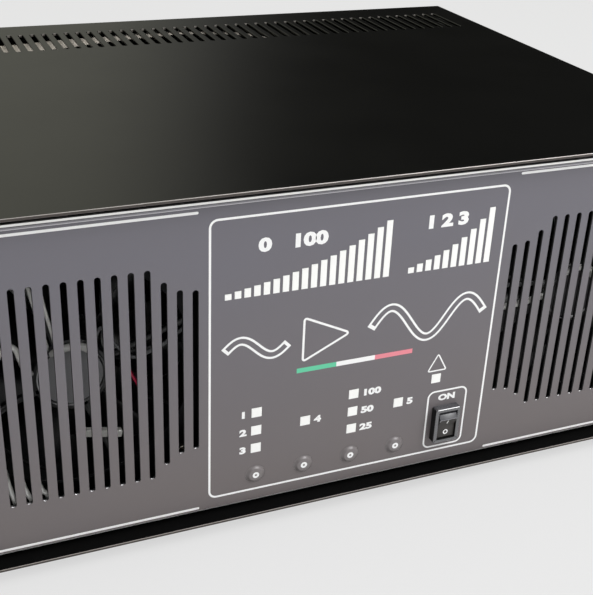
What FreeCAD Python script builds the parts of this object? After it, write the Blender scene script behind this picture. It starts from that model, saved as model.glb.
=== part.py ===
"""HF linear amplifier: a wide sheet-steel case around a pierced, recessed front panel.

It stands on the floor with +Z up. The front looks along -Y, and the origin is under the
middle of the whole part. Lengths are in millimetres. A depth is measured backwards from
the face of the printed film on the front panel.
"""
import FreeCAD
import Part
import math
import os

V = FreeCAD.Vector

# Case: an inverted U over an upright U, both bent from sheet steel
case_width = 421.0
case_height = 177.0
case_depth = 321.0
sheet = 1.5
bend_radius = 2.5
bend_clearance = 0.4
cover_fit = 0.2
tray_side = 40.0
foot_height = 9.0
foot_radius = 11.0
foot_taper = 2.0
foot_inset = 34.0

# Front panel, set back behind the lips of the case
lip_ahead = 6.6
panel_gap = 3.0
panel_thickness = 2.0
panel_bevel = 0.4
film_thickness = 0.3
film_margin = 1.2

# Pierced grilles: the end slots are shorter, by these shares of a full slot
slot_pitch = 7.32
slot_width = 2.85
slot_shares = (0.77, 0.79, 0.877)
grille_height = 111.9
grille_from_side = 67.6
grille_above_panel_edge = 82.1
vent_width = 3.3
vent_length = 41.0
vent_rear_margin = 24.0
vent_side_margin = 16.5
rear_slots = 12
rear_slot_height = 84.0
rear_slots_above_floor = 85.0

# Bar graphs: bar heights grow from the first to the last along a cubic curve
bar_width = 3.4
bar_pitch = 4.72
bar_first_height = 3.2
bar_last_height = 29.8
bars_below_panel_top = 50.4
power_bars = 18
power_first_x = -68.0
power_slope = 0.80
ratio_bars = 10
ratio_first_x = 25.9
ratio_slope = 1.35
guide_margin = 1.0
guide_gap = 0.1

# Status windows and push buttons stand in shared columns
window_size = 5.5
column_count = 4
column_pitch = 26.2
first_column_x = -52.6
window_row_pitch = 10.45
middle_row_above_panel_edge = 43.0
alarm_window_x = 47.2
buttons_above_panel_edge = 16.6
button_radius = 5.1
button_crown_radius = 3.4
button_crown = 1.0
button_gap = 0.15
button_panel_gap = 0.25
button_play = 0.05
button_travel = 0.5
button_flange_overlap = 1.0
button_flange = 0.8
stem_size = 3.2
stem_gap = 0.1
stem_engagement = 1.0

# Board behind the panel
board_thickness = 1.6
board_gap = 7.0
board_half_width = 71.0
board_bottom_margin = 11.5
board_top_margin = 16.5
board_notch_clearance = 3.0
tact_size = 6.0
tact_height = 3.5
tact_bore_spare = 0.7
standoff_radius = 3.0
standoff_edge = 4.0

# Rocker switch, snapped into the panel
rocker_x = 54.6
rocker_above_panel_edge = 25.35
bezel_width = 15.0
bezel_height = 21.0
bezel_proud = 3.2
bezel_bevel = 0.7
bezel_wall = 2.0
switch_neck_inset = 1.0
switch_neck_gap = 0.1
switch_depth = 14.0
rocker_well = 8.0
rocker_tilt = 13.0
rocker_end_gap = 1.0
rocker_side_gap = 0.2
rocker_proud = 0.3
pivot_below_bezel = 2.0
pivot_radius = 1.2
pivot_clearance = 0.05
pivot_length = 1.3
pivot_hole_spare = 0.2
rocker_skirt = 1.0
rocker_keel = 4.0
rocker_keel_half = 3.0
terminal_width = 4.8
terminal_thickness = 0.8
terminal_length = 8.0
terminal_pitch = 6.0
terminal_count = 3

# Inner front frame, with the panel carried on shoulder studs
frame_screw_gap = 0.4
frame_top_gap = 2.5
frame_foot = 22.0
frame_switch_gap = 2.0
stud_radius = 2.0
stud_shoulder_radius = 3.5
stud_edge = 5.0
stud_end = 3.0
nut_radius = 4.0
nut_height = 3.0

# Fans
fan_size = 120.0
fan_depth = 38.0
fan_bore_radius = 57.5
fan_ring_wall = 2.0
fan_flange = 4.0
fan_corner = 6.0
fan_screw_pitch = 105.0
fan_hub_radius = 18.5
fan_hub_gap = 0.5
fan_hub_depth = 28.0
fan_motor_depth = 6.0
fan_motor_setback = 0.5
fan_struts = 4
fan_strut_width = 3.0
fan_strut_depth = 3.0
fan_strut_angle = 20.0
fan_shaft_radius = 1.5
fan_shaft_clearance = 0.05
fan_shaft_length = 4.5
fan_bearing_spare = 0.5
fan_blades = 7
fan_blade_sections = 2
fan_blade_tip_gap = 1.2
fan_blade_root_depth = 1.0
fan_blade_thickness = 2.0
fan_blade_setback = 1.0
fan_blade_depth = 24.0
fan_blade_root_reach = 13.0
fan_blade_tip_reach = 36.0
fan_blade_camber = 3.0

# Round pieces that nothing turns in have flats, fewer the smaller they are
small_flat_count = 6
barrel_flat_count = 12
hub_flat_count = 24
ring_flat_count = 32

# Screws
screw_radius = 2.0
screw_head_radius = 3.9
screw_head = 2.2
screw_length = 6.0
hole_clearance = 0.1
cover_screws_per_side = 2
cover_screw_end = 28.0
cover_screw_height = 24.0

# Rear panel and what it carries
rear_recess = 6.0
rear_foot = 14.0
socket_from_side = 35.0
socket_below_ceiling = 44.0
socket_pitch = 52.0
socket_flange = 25.4
socket_flange_thickness = 3.0
socket_thread_radius = 7.9
socket_reach = 19.0
socket_mouth_radius = 5.6
socket_mouth_depth = 13.0
socket_insulator = 3.0
socket_contact_radius = 3.2
socket_contact_bore = 2.0
socket_contact_length = 4.5
socket_back = 9.0
socket_back_radius = 6.5
jack_from_socket = 40.0
jack_pitch = 20.0
jack_count = 2
jack_reach = 9.0
jack_radius = 4.1
jack_nut_radius = 6.5
jack_nut = 2.0
jack_pin_bore = 1.6
jack_back = 12.0
ground_from_side = 21.0
ground_above_floor = 26.0
ground_radius = 3.0
ground_reach = 22.0
ground_back = 8.0
ground_nut_radius = 5.8
ground_nut = 5.0
wing_span = 24.0
wing_height = 10.0
wing_thickness = 2.4
wing_hub_radius = 5.0
wing_hub = 6.0
wing_clearance = 0.05
inlet_from_side = 41.0
inlet_above_floor = 34.0
inlet_flange_width = 50.0
inlet_flange_height = 24.0
inlet_flange_thickness = 2.5
inlet_corner = 3.0
inlet_body_width = 28.0
inlet_body_height = 20.0
inlet_body_depth = 22.0
inlet_mouth_width = 24.0
inlet_mouth_height = 17.0
inlet_mouth_depth = 16.0
inlet_pin_width = 2.0
inlet_pin_height = 4.0
inlet_pin_spread = 7.0
inlet_pin_length = 13.0
inlet_panel_gap = 0.2
fuse_from_inlet = 46.0
fuse_radius = 6.2
fuse_collar_radius = 8.5
fuse_collar = 2.5
fuse_cap_reach = 10.0
fuse_cap_radius = 6.5
fuse_cap_groove = 2.0
fuse_back = 30.0

# Power supply module at the left
supply_side_gap = 6.0
supply_width = 118.0
supply_top_gap = 19.0
supply_front_gap = 12.0
supply_rear_gap = 37.0
supply_wall = 1.5
supply_feet = 3.0
supply_foot_size = 12.0
supply_slots = 8
supply_slot_height = 90.0
terminal_block_width = 70.0
terminal_block_depth = 14.0
terminal_block_height = 16.0
terminal_block_below_top = 40.0

# Heatsink at the right, with the radio boards on its flat side
sink_side_gap = 10.0
sink_supply_gap = 20.0
sink_front_gap = 14.0
sink_rear_gap = 18.0
sink_height = 79.0
sink_base = 10.0
sink_fin = 2.5
sink_fin_count = 16
spreader_margin = 12.0
spreader_share = 0.504
spreader_depth = 110.0
spreader_thickness = 6.0
rf_board_margin = 8.0
transistor_width = 34.0
transistor_depth = 10.0
transistor_height = 5.0
transistor_count = 2
transistor_pitch = 46.0
transistor_gap = 0.3
core_width = 44.0
core_depth = 26.0
core_height = 22.0
core_behind_transistors = 6.0
core_hole_radius = 5.0
core_hole_pitch = 20.0
core_tube_gap = 0.1
core_tube_bore = 3.6
core_tube_end = 3.0
capacitor_radius = 11.0
capacitor_height = 38.0
capacitor_count = 2
capacitor_pitch = 28.0
filter_board_gap = 14.0
filter_board_margin = 8.0
filter_board_end = 12.0
filter_board_lift = 8.0
filter_pillar_inset = 6.0
coil_count = 3
coil_radius = 15.0
coil_bore = 8.0
coil_height = 9.0
coil_pitch = 40.0
coil_from_edge = 26.0
relay_count = 4
relay_width = 16.0
relay_depth = 28.0
relay_height = 20.0
relay_pitch = 36.0
relay_from_edge = 22.0

# Cutters run this far past the faces that they cut
cut_past = 5.0

# Rocker places
well_half_height = bezel_height / 2 - bezel_wall
well_half_width = bezel_width / 2 - bezel_wall
rocker_half_length = well_half_height - rocker_end_gap
tilt = math.radians(rocker_tilt)
valley_rise = (pivot_below_bezel + rocker_proud) / math.cos(tilt)
tip_height = valley_rise + rocker_half_length * math.tan(tilt)
raised_tip = tip_height * math.cos(tilt) + rocker_half_length * math.sin(tilt)
pivot_depth = pivot_below_bezel - bezel_proud

# Places along the depth
front_reach = max(lip_ahead, raised_tip - pivot_depth)
rear_edge = case_depth - lip_ahead
rear_outer = rear_edge - rear_recess
rear_inner = rear_outer - sheet
socket_end = rear_outer + socket_flange_thickness + socket_reach
face_y = (front_reach - max(rear_edge, socket_end)) / 2
panel_front = film_thickness
panel_back = panel_front + panel_thickness
board_front = panel_back + board_gap
board_back = board_front + board_thickness
frame_front = board_back + screw_head + frame_screw_gap
frame_back = frame_front + sheet
fan_back = frame_back + fan_depth
motor_front = frame_back + fan_motor_setback
motor_back = motor_front + fan_motor_depth
hub_front = motor_back + fan_hub_gap
hub_back = hub_front + fan_hub_depth
supply_front = fan_back + supply_front_gap
supply_back = rear_inner - supply_rear_gap
sink_front = fan_back + sink_front_gap
sink_back = rear_inner - sink_rear_gap
spreader_front = (sink_front + sink_back - spreader_depth) / 2
spreader_back = spreader_front + spreader_depth

# Places across the width
cover_inner_half = case_width / 2 - sheet
tray_outer_half = cover_inner_half - cover_fit
tray_inner_half = tray_outer_half - sheet
plate_half = tray_inner_half - max(bend_radius - sheet, 0) - bend_clearance
panel_half = cover_inner_half - panel_gap
grille_x = panel_half - grille_from_side
grille_slots = 1 + int(2 * fan_bore_radius / slot_pitch)
vent_slots = int((case_width - 2 * vent_side_margin) / slot_pitch)
column_xs = [first_column_x + column_pitch * i for i in range(column_count)]
socket_x = plate_half - socket_from_side
jack_x = socket_x - jack_from_socket
ground_x = plate_half - ground_from_side
inlet_x = inlet_from_side - plate_half
fuse_x = inlet_x + fuse_from_inlet
supply_left = supply_side_gap - plate_half
supply_right = supply_left + supply_width
sink_left = supply_right + sink_supply_gap
sink_right = plate_half - sink_side_gap
spreader_left = sink_left + spreader_margin
spreader_right = spreader_left + (sink_right - sink_left) * spreader_share
spreader_middle = (spreader_left + spreader_right) / 2
filter_left = spreader_right + filter_board_gap
filter_right = sink_right - filter_board_margin

# Places up the height
tray_z = foot_height
floor_z = foot_height + sheet
case_top = foot_height + case_height
ceiling_z = case_top - sheet
plate_high = ceiling_z - frame_top_gap
cover_screw_z = tray_z + cover_screw_height
panel_low = floor_z + panel_gap
panel_high = ceiling_z - panel_gap
board_low = panel_low + board_bottom_margin
board_high = panel_high - board_top_margin
grille_z = panel_low + grille_above_panel_edge
bars_z = panel_high - bars_below_panel_top
rocker_z = panel_low + rocker_above_panel_edge
buttons_z = panel_low + buttons_above_panel_edge
middle_row_z = panel_low + middle_row_above_panel_edge
output_socket_z = ceiling_z - socket_below_ceiling
input_socket_z = output_socket_z - socket_pitch
ground_z = floor_z + ground_above_floor
inlet_z = floor_z + inlet_above_floor
supply_low = floor_z + supply_feet
supply_high = ceiling_z - supply_top_gap
sink_top = floor_z + sink_height
spreader_top = sink_top + spreader_thickness
rf_board_top = spreader_top + board_thickness
filter_low = sink_top + filter_board_lift
filter_top = filter_low + board_thickness


def y_at(depth):
    """Y of a depth behind the film's face."""
    return face_y + depth


def spot(x, depth, z):
    """Point from an X, a depth and a Z."""
    return V(x, y_at(depth), z)


def around(middle, size):
    """Low and high value of a size centred on a middle."""
    return (middle - size / 2, middle + size / 2)


def past(span):
    """A cutter's span: past both ends of the span that it cuts."""
    return (span[0] - cut_past, span[1] + cut_past)


def block(x_span, depth_span, z_span):
    """Box between a low and a high value in X, in depth and in Z."""
    size = [high - low for low, high in (x_span, depth_span, z_span)]
    return Part.makeBox(*size, spot(x_span[0], depth_span[0], z_span[0]))


def prism(points, direction):
    """Straight prism on a closed outline of points."""
    return Part.Face(Part.makePolygon(points + points[:1])).extrude(direction)


def rod(radius, x, z, depth_span):
    """Round bar along the depth."""
    length = depth_span[1] - depth_span[0]
    return Part.makeCylinder(radius, length, spot(x, depth_span[0], z), V(0, 1, 0))


def solid_of(outlines):
    """Solid enclosed by flat faces, each given by its corners in order."""
    faces = [Part.Face(Part.makePolygon(points + points[:1])) for points in outlines]
    solid = Part.Solid(Part.Shell(faces))
    if solid.Volume < 0:
        solid.reverse()
    return solid


def ring(flats, radius, middle, along):
    """Corners of a regular polygon across a direction, by their distance from its middle."""
    first = V(1, 0, 0) if abs(along.x) < abs(along.y) + abs(along.z) else V(0, 0, 1)
    second = along.cross(first).normalize()
    points = []
    for i in range(flats):
        angle = 2 * math.pi * (i + 0.5) / flats
        points.append(middle + (first * math.cos(angle) + second * math.sin(angle)) * radius)
    return points


def flatted(flats, radius, start, end):
    """Straight bar with flats between two points, by the radius of its corners."""
    return prism(ring(flats, radius, start, end - start), end - start)


def taper(flats, start, end):
    """Tapered bar with flats between two ends, each a radius and a point."""
    along = end[1] - start[1]
    low, high = [ring(flats, radius, middle, along) for radius, middle in (start, end)]
    outlines = [low, high]
    for i in range(flats):
        outlines.append([low[i - 1], low[i], high[i], high[i - 1]])
    return solid_of(outlines)


def flatted_rod(flats, radius, x, z, depth_span):
    """Bar with flats along the depth."""
    return flatted(flats, radius, spot(x, depth_span[0], z), spot(x, depth_span[1], z))


def post(flats, radius, x, depth, z_span):
    """Upright bar with flats."""
    return flatted(flats, radius, spot(x, depth, z_span[0]), spot(x, depth, z_span[1]))


def screw(seat, direction, length):
    """Screw with its head's underside at the seat and its shank along the direction."""
    head = flatted(small_flat_count, screw_head_radius, seat, seat - direction * screw_head)
    shank = flatted(small_flat_count, screw_radius, seat, seat + direction * length)
    return head.fuse(shank).removeSplitter()


def clipped_block(x_span, depth_span, z_span, corner):
    """Box along the depth with its four long edges clipped."""
    x_low, x_high = x_span
    z_low, z_high = z_span
    corners = [
        (x_low + corner, z_low),
        (x_high - corner, z_low),
        (x_high, z_low + corner),
        (x_high, z_high - corner),
        (x_high - corner, z_high),
        (x_low + corner, z_high),
        (x_low, z_high - corner),
        (x_low, z_low + corner),
    ]
    points = [spot(x, depth_span[0], z) for x, z in corners]
    return prism(points, V(0, depth_span[1] - depth_span[0], 0))


def slot_places(count, full_length):
    """Offset and length of each slot in a row whose end slots are shorter."""
    places = []
    for i in range(count):
        from_end = min(i, count - 1 - i)
        share = slot_shares[from_end] if from_end < len(slot_shares) else 1.0
        places.append(((i - (count - 1) / 2) * slot_pitch, full_length * share))
    return places


def upright_slots(count, middle_x, middle_z, height, depth_span):
    """Cutters for a row of upright slots through a plate that faces front."""
    cutters = []
    for offset, length in slot_places(count, height):
        x_span = around(middle_x + offset, slot_width)
        cutters.append(block(x_span, past(depth_span), around(middle_z, length)))
    return cutters


def fillet_long_edges(shape, radius, z_test):
    """Rounds the edges that run front to back at heights that pass a test."""
    if radius <= 0:
        return shape
    chosen = []
    for edge in shape.Edges:
        ends = [vertex.Point for vertex in edge.Vertexes]
        along_depth = abs(ends[0].x - ends[1].x) + abs(ends[0].z - ends[1].z) < 1e-6
        if along_depth and z_test(ends[0].z):
            chosen.append(edge)
    return shape.makeFillet(radius, chosen)


def bevel_front(shape, depth, size):
    """Bevels the edges around the face that looks forward at a depth."""
    rim = []
    for edge in shape.Edges:
        if all(abs(vertex.Point.y - y_at(depth)) < 1e-6 for vertex in edge.Vertexes):
            rim.append(edge)
    return shape.makeChamfer(size, rim)


def save(name, solids):
    """Writes one node: a single solid, or a group of separate ones."""
    shape = solids[0] if len(solids) == 1 else Part.makeCompound(solids)
    shape.exportStep("parts/" + name + ".step")
    print(name, len(shape.Solids), "solids", round(shape.Volume, 1), "mm3", shape.isValid())


# Case

def cover_screw_depths():
    """Depths of the screws along one side of the case."""
    first = cover_screw_end - lip_ahead
    step = (case_depth - 2 * cover_screw_end) / (cover_screws_per_side - 1)
    return [first + step * i for i in range(cover_screws_per_side)]


def side_screw_holes(low_x, high_x):
    """Cutters for the screws through both sides of the case."""
    radius = screw_radius + hole_clearance
    cutters = []
    for depth in cover_screw_depths():
        for side in (-1, 1):
            start = spot(side * low_x, depth, cover_screw_z)
            end = spot(side * high_x, depth, cover_screw_z)
            cutters.append(flatted(small_flat_count, radius, start, end))
    return cutters


def make_top_cover():
    """Top and both sides, bent from one sheet, with the row of outlet slots near the rear."""
    half = case_width / 2
    depths = (-lip_ahead, rear_edge)
    outer = block((-half, half), depths, (tray_z, case_top))
    outer = fillet_long_edges(outer, bend_radius, lambda z: z > ceiling_z)
    inner = block((-cover_inner_half, cover_inner_half), past(depths), (tray_z - cut_past, ceiling_z))
    inner = fillet_long_edges(inner, bend_radius - sheet, lambda z: z > tray_z)
    cutters = [inner]
    vent_middle = rear_edge - vent_rear_margin - vent_length / 2
    for i in range(vent_slots):
        x_span = around((i - (vent_slots - 1) / 2) * slot_pitch, vent_width)
        cutters.append(block(x_span, around(vent_middle, vent_length), past((ceiling_z, case_top))))
    return outer.cut(cutters + side_screw_holes(cover_inner_half - cut_past, half + cut_past))


def make_bottom_tray():
    """Bottom and two low sides, bent from one sheet, inside the cover."""
    depths = (-lip_ahead, rear_edge)
    top = tray_z + tray_side
    outer = block((-tray_outer_half, tray_outer_half), depths, (tray_z, top))
    outer = fillet_long_edges(outer, bend_radius, lambda z: z < floor_z)
    inner = block((-tray_inner_half, tray_inner_half), past(depths), (floor_z, top + cut_past))
    inner = fillet_long_edges(inner, bend_radius - sheet, lambda z: z < top)
    holes = side_screw_holes(tray_inner_half - cut_past, tray_outer_half + cut_past)
    return outer.cut([inner] + holes)


def make_cover_screws():
    """Screws through the cover's sides into the tray's."""
    screws = []
    for depth in cover_screw_depths():
        for side in (-1, 1):
            seat = spot(side * case_width / 2, depth, cover_screw_z)
            screws.append(screw(seat, V(-side, 0, 0), screw_length))
    return screws


def make_feet():
    """Round rubber feet, narrower where they meet the floor."""
    x = case_width / 2 - foot_inset
    feet = []
    for depth in (foot_inset - lip_ahead, rear_edge - foot_inset):
        for side in (-1, 1):
            base = spot(side * x, depth, 0)
            top = spot(side * x, depth, foot_height)
            feet.append(taper(hub_flat_count, (foot_radius - foot_taper, base), (foot_radius, top)))
    return feet


# Front panel

def grille_cutters(depth_span):
    """Cutters for the slots of both grilles."""
    left = upright_slots(grille_slots, -grille_x, grille_z, grille_height, depth_span)
    return left + upright_slots(grille_slots, grille_x, grille_z, grille_height, depth_span)


def bar_groups():
    """First bar's X and number of bars of each bar graph, and how fast its bars grow."""
    return ((power_first_x, power_bars, power_slope), (ratio_first_x, ratio_bars, ratio_slope))


def bar_height(i, count, slope):
    """Height of a bar: a straight rise and a cubic one that ends at the last bar's height."""
    cubic = (bar_last_height - bar_first_height - slope * (count - 1)) / (count - 1) ** 3
    return bar_first_height + slope * i + cubic * i ** 3


def bar_blocks(gap, depth_span):
    """A block for each bar of both graphs, with a gap left round it."""
    blocks = []
    for first_x, count, slope in bar_groups():
        for i in range(count):
            x_span = around(first_x + bar_pitch * i, bar_width - 2 * gap)
            z_span = (bars_z + gap, bars_z + bar_height(i, count, slope) - gap)
            blocks.append(block(x_span, depth_span, z_span))
    return blocks


def graph_blocks(margin, depth_span):
    """A block over each bar graph, whose top follows its bars through the middle one."""
    blocks = []
    for first_x, count, slope in bar_groups():
        left = first_x - bar_width / 2 - margin
        right = first_x + bar_pitch * (count - 1) + bar_width / 2 + margin
        middle = count // 2
        middle_left = first_x + bar_pitch * middle - bar_width / 2 - margin
        middle_z = bars_z + bar_height(middle, count, slope) + margin
        outline = [
            (left, bars_z - margin),
            (right, bars_z - margin),
            (right, bars_z + bar_last_height + margin),
            (right - bar_width - margin, bars_z + bar_last_height + margin),
            (middle_left, middle_z),
            (left, middle_z),
        ]
        points = [spot(x, depth_span[0], z) for x, z in outline]
        blocks.append(prism(points, V(0, depth_span[1] - depth_span[0], 0)))
    return blocks


def window_places():
    """X and Z of the status windows: three in columns 1 and 3, one in 2 and 4, and an alarm."""
    rows = [middle_row_z + window_row_pitch * step for step in (-1, 0, 1)]
    places = [(column_xs[0], z) for z in rows]
    places.append((column_xs[1], middle_row_z))
    places += [(column_xs[2], z) for z in rows]
    places.append((column_xs[3], middle_row_z))
    places.append((alarm_window_x, rows[2]))
    return places


def window_blocks(size, depth_span):
    """A square block at each status window."""
    return [block(around(x, size), depth_span, around(z, size)) for x, z in window_places()]


def switch_neck(gap, depth_span):
    """Neck of the rocker switch, or the hole for it when a gap is added."""
    spread = 2 * (gap - switch_neck_inset)
    x_span = around(rocker_x, bezel_width + spread)
    return block(x_span, depth_span, around(rocker_z, bezel_height + spread))


def make_front_panel():
    """Aluminium plate with a bevelled edge, the two grilles and openings for the controls."""
    depths = (panel_front, panel_back)
    plate = block((-panel_half, panel_half), depths, (panel_low, panel_high))
    plate = bevel_front(plate, panel_front, panel_bevel)
    cutters = grille_cutters(depths) + graph_blocks(guide_margin, past(depths))
    cutters += window_blocks(window_size, past(depths))
    cutters.append(switch_neck(switch_neck_gap, past(depths)))
    opening = 2 * (button_radius + button_panel_gap)
    for x in column_xs:
        cutters.append(block(around(x, opening), past(depths), around(buttons_z, opening)))
    return plate.cut(cutters)


def make_front_film():
    """Printed film on the panel, cut out at the slots, the bars, the windows and the controls."""
    half = panel_half - film_margin
    depths = (0, film_thickness)
    film = block((-half, half), depths, (panel_low + film_margin, panel_high - film_margin))
    cutters = grille_cutters(depths) + bar_blocks(0, past(depths))
    cutters += window_blocks(window_size, past(depths))
    cutters.append(switch_neck(switch_neck_gap, past(depths)))
    hole = button_radius + button_gap
    cutters += [flatted_rod(hub_flat_count, hole, x, buttons_z, past(depths)) for x in column_xs]
    return film.cut(cutters)


def make_bar_guides():
    """Light guides behind the bar graphs, with a rib through the film for each bar."""
    blocks = graph_blocks(guide_margin - guide_gap, (panel_front, board_front))
    ribs = bar_blocks(guide_gap, (0, panel_front))
    left_ribs = ribs[:power_bars]
    right_ribs = ribs[power_bars:]
    return [blocks[0].fuse(left_ribs).removeSplitter(), blocks[1].fuse(right_ribs).removeSplitter()]


def make_button(x):
    """Crowned push button: a square flange behind the panel and a stem into its switch."""
    flange_front = panel_back + button_play
    flange_back = flange_front + button_flange
    stem_end = board_front - tact_height + stem_engagement
    cap = flatted_rod(hub_flat_count, button_radius, x, buttons_z, (0, flange_front))
    tip = (button_crown_radius, spot(x, -button_crown, buttons_z))
    crown = taper(hub_flat_count, tip, (button_radius, spot(x, 0, buttons_z)))
    flange_size = 2 * (button_radius + button_panel_gap + button_flange_overlap)
    flange = block(around(x, flange_size), (flange_front, flange_back), around(buttons_z, flange_size))
    stem = block(around(x, stem_size), (flange_back, stem_end), around(buttons_z, stem_size))
    return cap.fuse([crown, flange, stem]).removeSplitter()


# Board behind the panel

def make_display_board():
    """Circuit board behind the panel, notched round the rocker switch."""
    depths = (board_front, board_back)
    board = block((-board_half_width, board_half_width), depths, (board_low, board_high))
    notch_left = rocker_x - bezel_width / 2 - board_notch_clearance
    notch_top = rocker_z + bezel_height / 2 + board_notch_clearance
    notch_x = (notch_left, board_half_width + cut_past)
    return board.cut(block(notch_x, past(depths), (board_low - cut_past, notch_top)))


def make_board_standoffs():
    """Hexagonal pillars that hold the board off the back of the panel."""
    side = board_half_width - standoff_edge
    low = board_low + standoff_edge
    high = board_high - standoff_edge
    between_graphs = (power_first_x + bar_pitch * (power_bars - 1) + ratio_first_x) / 2
    above_notch = rocker_z + bezel_height / 2 + board_notch_clearance + standoff_edge
    beside_notch = rocker_x - bezel_width / 2 - board_notch_clearance - standoff_edge
    places = [
        (-side, low),
        (-side, high),
        (between_graphs, high),
        (side, above_notch),
        (beside_notch, low),
    ]
    depths = (panel_back, board_front)
    return [flatted_rod(small_flat_count, standoff_radius, x, z, depths) for x, z in places]


def make_tact_switches():
    """Small switches that the buttons press, each with a square bore for the stem."""
    front = board_front - tact_height
    bore_end = front + stem_engagement + button_travel + tact_bore_spare
    bore_size = stem_size + 2 * stem_gap
    switches = []
    for x in column_xs:
        body = block(around(x, tact_size), (front, board_front), around(buttons_z, tact_size))
        bore_depths = (front - cut_past, bore_end)
        switches.append(body.cut(block(around(x, bore_size), bore_depths, around(buttons_z, bore_size))))
    return switches


# Rocker switch

def pivot_bar(radius, half_length):
    """Round bar on the rocker's pivot axis."""
    start = spot(rocker_x - half_length, pivot_depth, rocker_z)
    return Part.makeCylinder(radius, 2 * half_length, start, V(1, 0, 0))


def make_switch_body():
    """Snap-in body: bevelled bezel on the film, neck through the panel and a well for the rocker."""
    front = -bezel_proud
    bezel = block(around(rocker_x, bezel_width), (front, 0), around(rocker_z, bezel_height))
    body = bevel_front(bezel, front, bezel_bevel).fuse(switch_neck(0, (0, switch_depth)))
    well_depths = (front - cut_past, front + rocker_well)
    well_x = around(rocker_x, 2 * well_half_width)
    well = block(well_x, well_depths, around(rocker_z, 2 * well_half_height))
    hole_half = well_half_width - rocker_side_gap + pivot_length + pivot_hole_spare
    return body.removeSplitter().cut([well, pivot_bar(pivot_radius + pivot_clearance, hole_half)])


def make_rocker():
    """Rocker with a shallow valley across its face and a pivot pin at each side, top end out."""
    half_width = well_half_width - rocker_side_gap
    pivot = spot(rocker_x, pivot_depth, rocker_z)
    outline = [
        (-rocker_half_length, tip_height),
        (0, valley_rise),
        (rocker_half_length, tip_height),
        (rocker_half_length, -rocker_skirt),
        (rocker_keel_half, -rocker_keel),
        (-rocker_keel_half, -rocker_keel),
        (-rocker_half_length, -rocker_skirt),
    ]
    points = [pivot + V(-half_width, -height, along) for along, height in outline]
    paddle = prism(points, V(2 * half_width, 0, 0))
    paddle = paddle.fuse(pivot_bar(pivot_radius, half_width + pivot_length)).removeSplitter()
    paddle.rotate(pivot, V(1, 0, 0), rocker_tilt)
    return paddle


def make_switch_terminals():
    """Blade terminals on the back of the switch."""
    depths = (switch_depth, switch_depth + terminal_length)
    x_span = around(rocker_x, terminal_width)
    blades = []
    for i in range(terminal_count):
        z = rocker_z + terminal_pitch * (i - (terminal_count - 1) / 2)
        blades.append(block(x_span, depths, around(z, terminal_thickness)))
    return blades


# Inner front frame

def stud_places():
    """X and Z of the studs on the back of the panel."""
    side = panel_half - stud_edge
    return [(x, z) for x in (-side, side) for z in (panel_low + stud_edge, panel_high - stud_edge)]


def fan_screw_places(side):
    """X and Z of one fan's screws."""
    half = fan_screw_pitch / 2
    return [(side * grille_x + dx, grille_z + dz) for dx in (-half, half) for dz in (-half, half)]


def make_front_frame():
    """Sheet-steel frame behind the panel, with two fan openings and a bent foot."""
    depths = (frame_front, frame_back)
    plate = block((-plate_half, plate_half), depths, (floor_z, plate_high))
    foot_depths = (frame_front, frame_front + frame_foot)
    foot = block((-plate_half, plate_half), foot_depths, (floor_z, floor_z + sheet))
    cutters = [switch_neck(frame_switch_gap, past(depths))]
    for side in (-1, 1):
        bore = flatted_rod(ring_flat_count, fan_bore_radius, side * grille_x, grille_z, past(depths))
        cutters.append(bore)
        for x, z in fan_screw_places(side):
            cutters.append(flatted_rod(small_flat_count, screw_radius + hole_clearance, x, z, past(depths)))
    for x, z in stud_places():
        cutters.append(flatted_rod(small_flat_count, stud_radius + hole_clearance, x, z, past(depths)))
    return plate.fuse(foot).removeSplitter().cut(cutters)


def make_panel_studs():
    """Shoulder studs on the back of the panel; each shoulder sets the panel off the frame."""
    thread_end = frame_back + nut_height + stud_end
    studs = []
    for x, z in stud_places():
        shoulder = flatted_rod(small_flat_count, stud_shoulder_radius, x, z, (panel_back, frame_front))
        thread = flatted_rod(small_flat_count, stud_radius, x, z, (frame_front, thread_end))
        studs.append(shoulder.fuse(thread).removeSplitter())
    return studs


def make_panel_nuts():
    """Nuts that hold the studs to the frame."""
    depths = (frame_back, frame_back + nut_height)
    nuts = []
    for x, z in stud_places():
        bore = flatted_rod(small_flat_count, stud_radius, x, z, past(depths))
        nuts.append(flatted_rod(small_flat_count, nut_radius, x, z, depths).cut(bore))
    return nuts


# Fans

def make_fan_frame(side):
    """Square fan frame: two flanges round a ring, and the motor's seat on slanted front struts."""
    x = side * grille_x
    x_span = around(x, fan_size)
    z_span = around(grille_z, fan_size)
    ring_radius = fan_bore_radius + fan_ring_wall
    shape = flatted_rod(ring_flat_count, ring_radius, x, grille_z, (frame_back, fan_back))
    for depths in ((frame_back, frame_back + fan_flange), (fan_back - fan_flange, fan_back)):
        shape = shape.fuse(clipped_block(x_span, depths, z_span, fan_corner))
    cutters = [flatted_rod(ring_flat_count, fan_bore_radius, x, grille_z, past((frame_back, fan_back)))]
    hole_depths = past((frame_back, frame_back + fan_flange))
    for hole_x, hole_z in fan_screw_places(side):
        radius = screw_radius + hole_clearance
        cutters.append(flatted_rod(small_flat_count, radius, hole_x, hole_z, hole_depths))
    shape = shape.cut(cutters)
    parts = [flatted_rod(hub_flat_count, fan_hub_radius, x, grille_z, (motor_front, motor_back))]
    strut_x = (x + fan_hub_radius / 2, x + fan_bore_radius + fan_ring_wall / 2)
    strut_depths = (motor_front, motor_front + fan_strut_depth)
    for i in range(fan_struts):
        strut = block(strut_x, strut_depths, around(grille_z, fan_strut_width))
        turn = side * fan_strut_angle + 360.0 * i / fan_struts
        strut.rotate(spot(x, 0, grille_z), V(0, 1, 0), turn)
        parts.append(strut)
    bearing_front = hub_front - fan_shaft_length - fan_bearing_spare
    bearing_depths = (bearing_front, motor_back + cut_past)
    bearing = rod(fan_shaft_radius + fan_shaft_clearance, x, grille_z, bearing_depths)
    return shape.fuse(parts).removeSplitter().cut(bearing)


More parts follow.
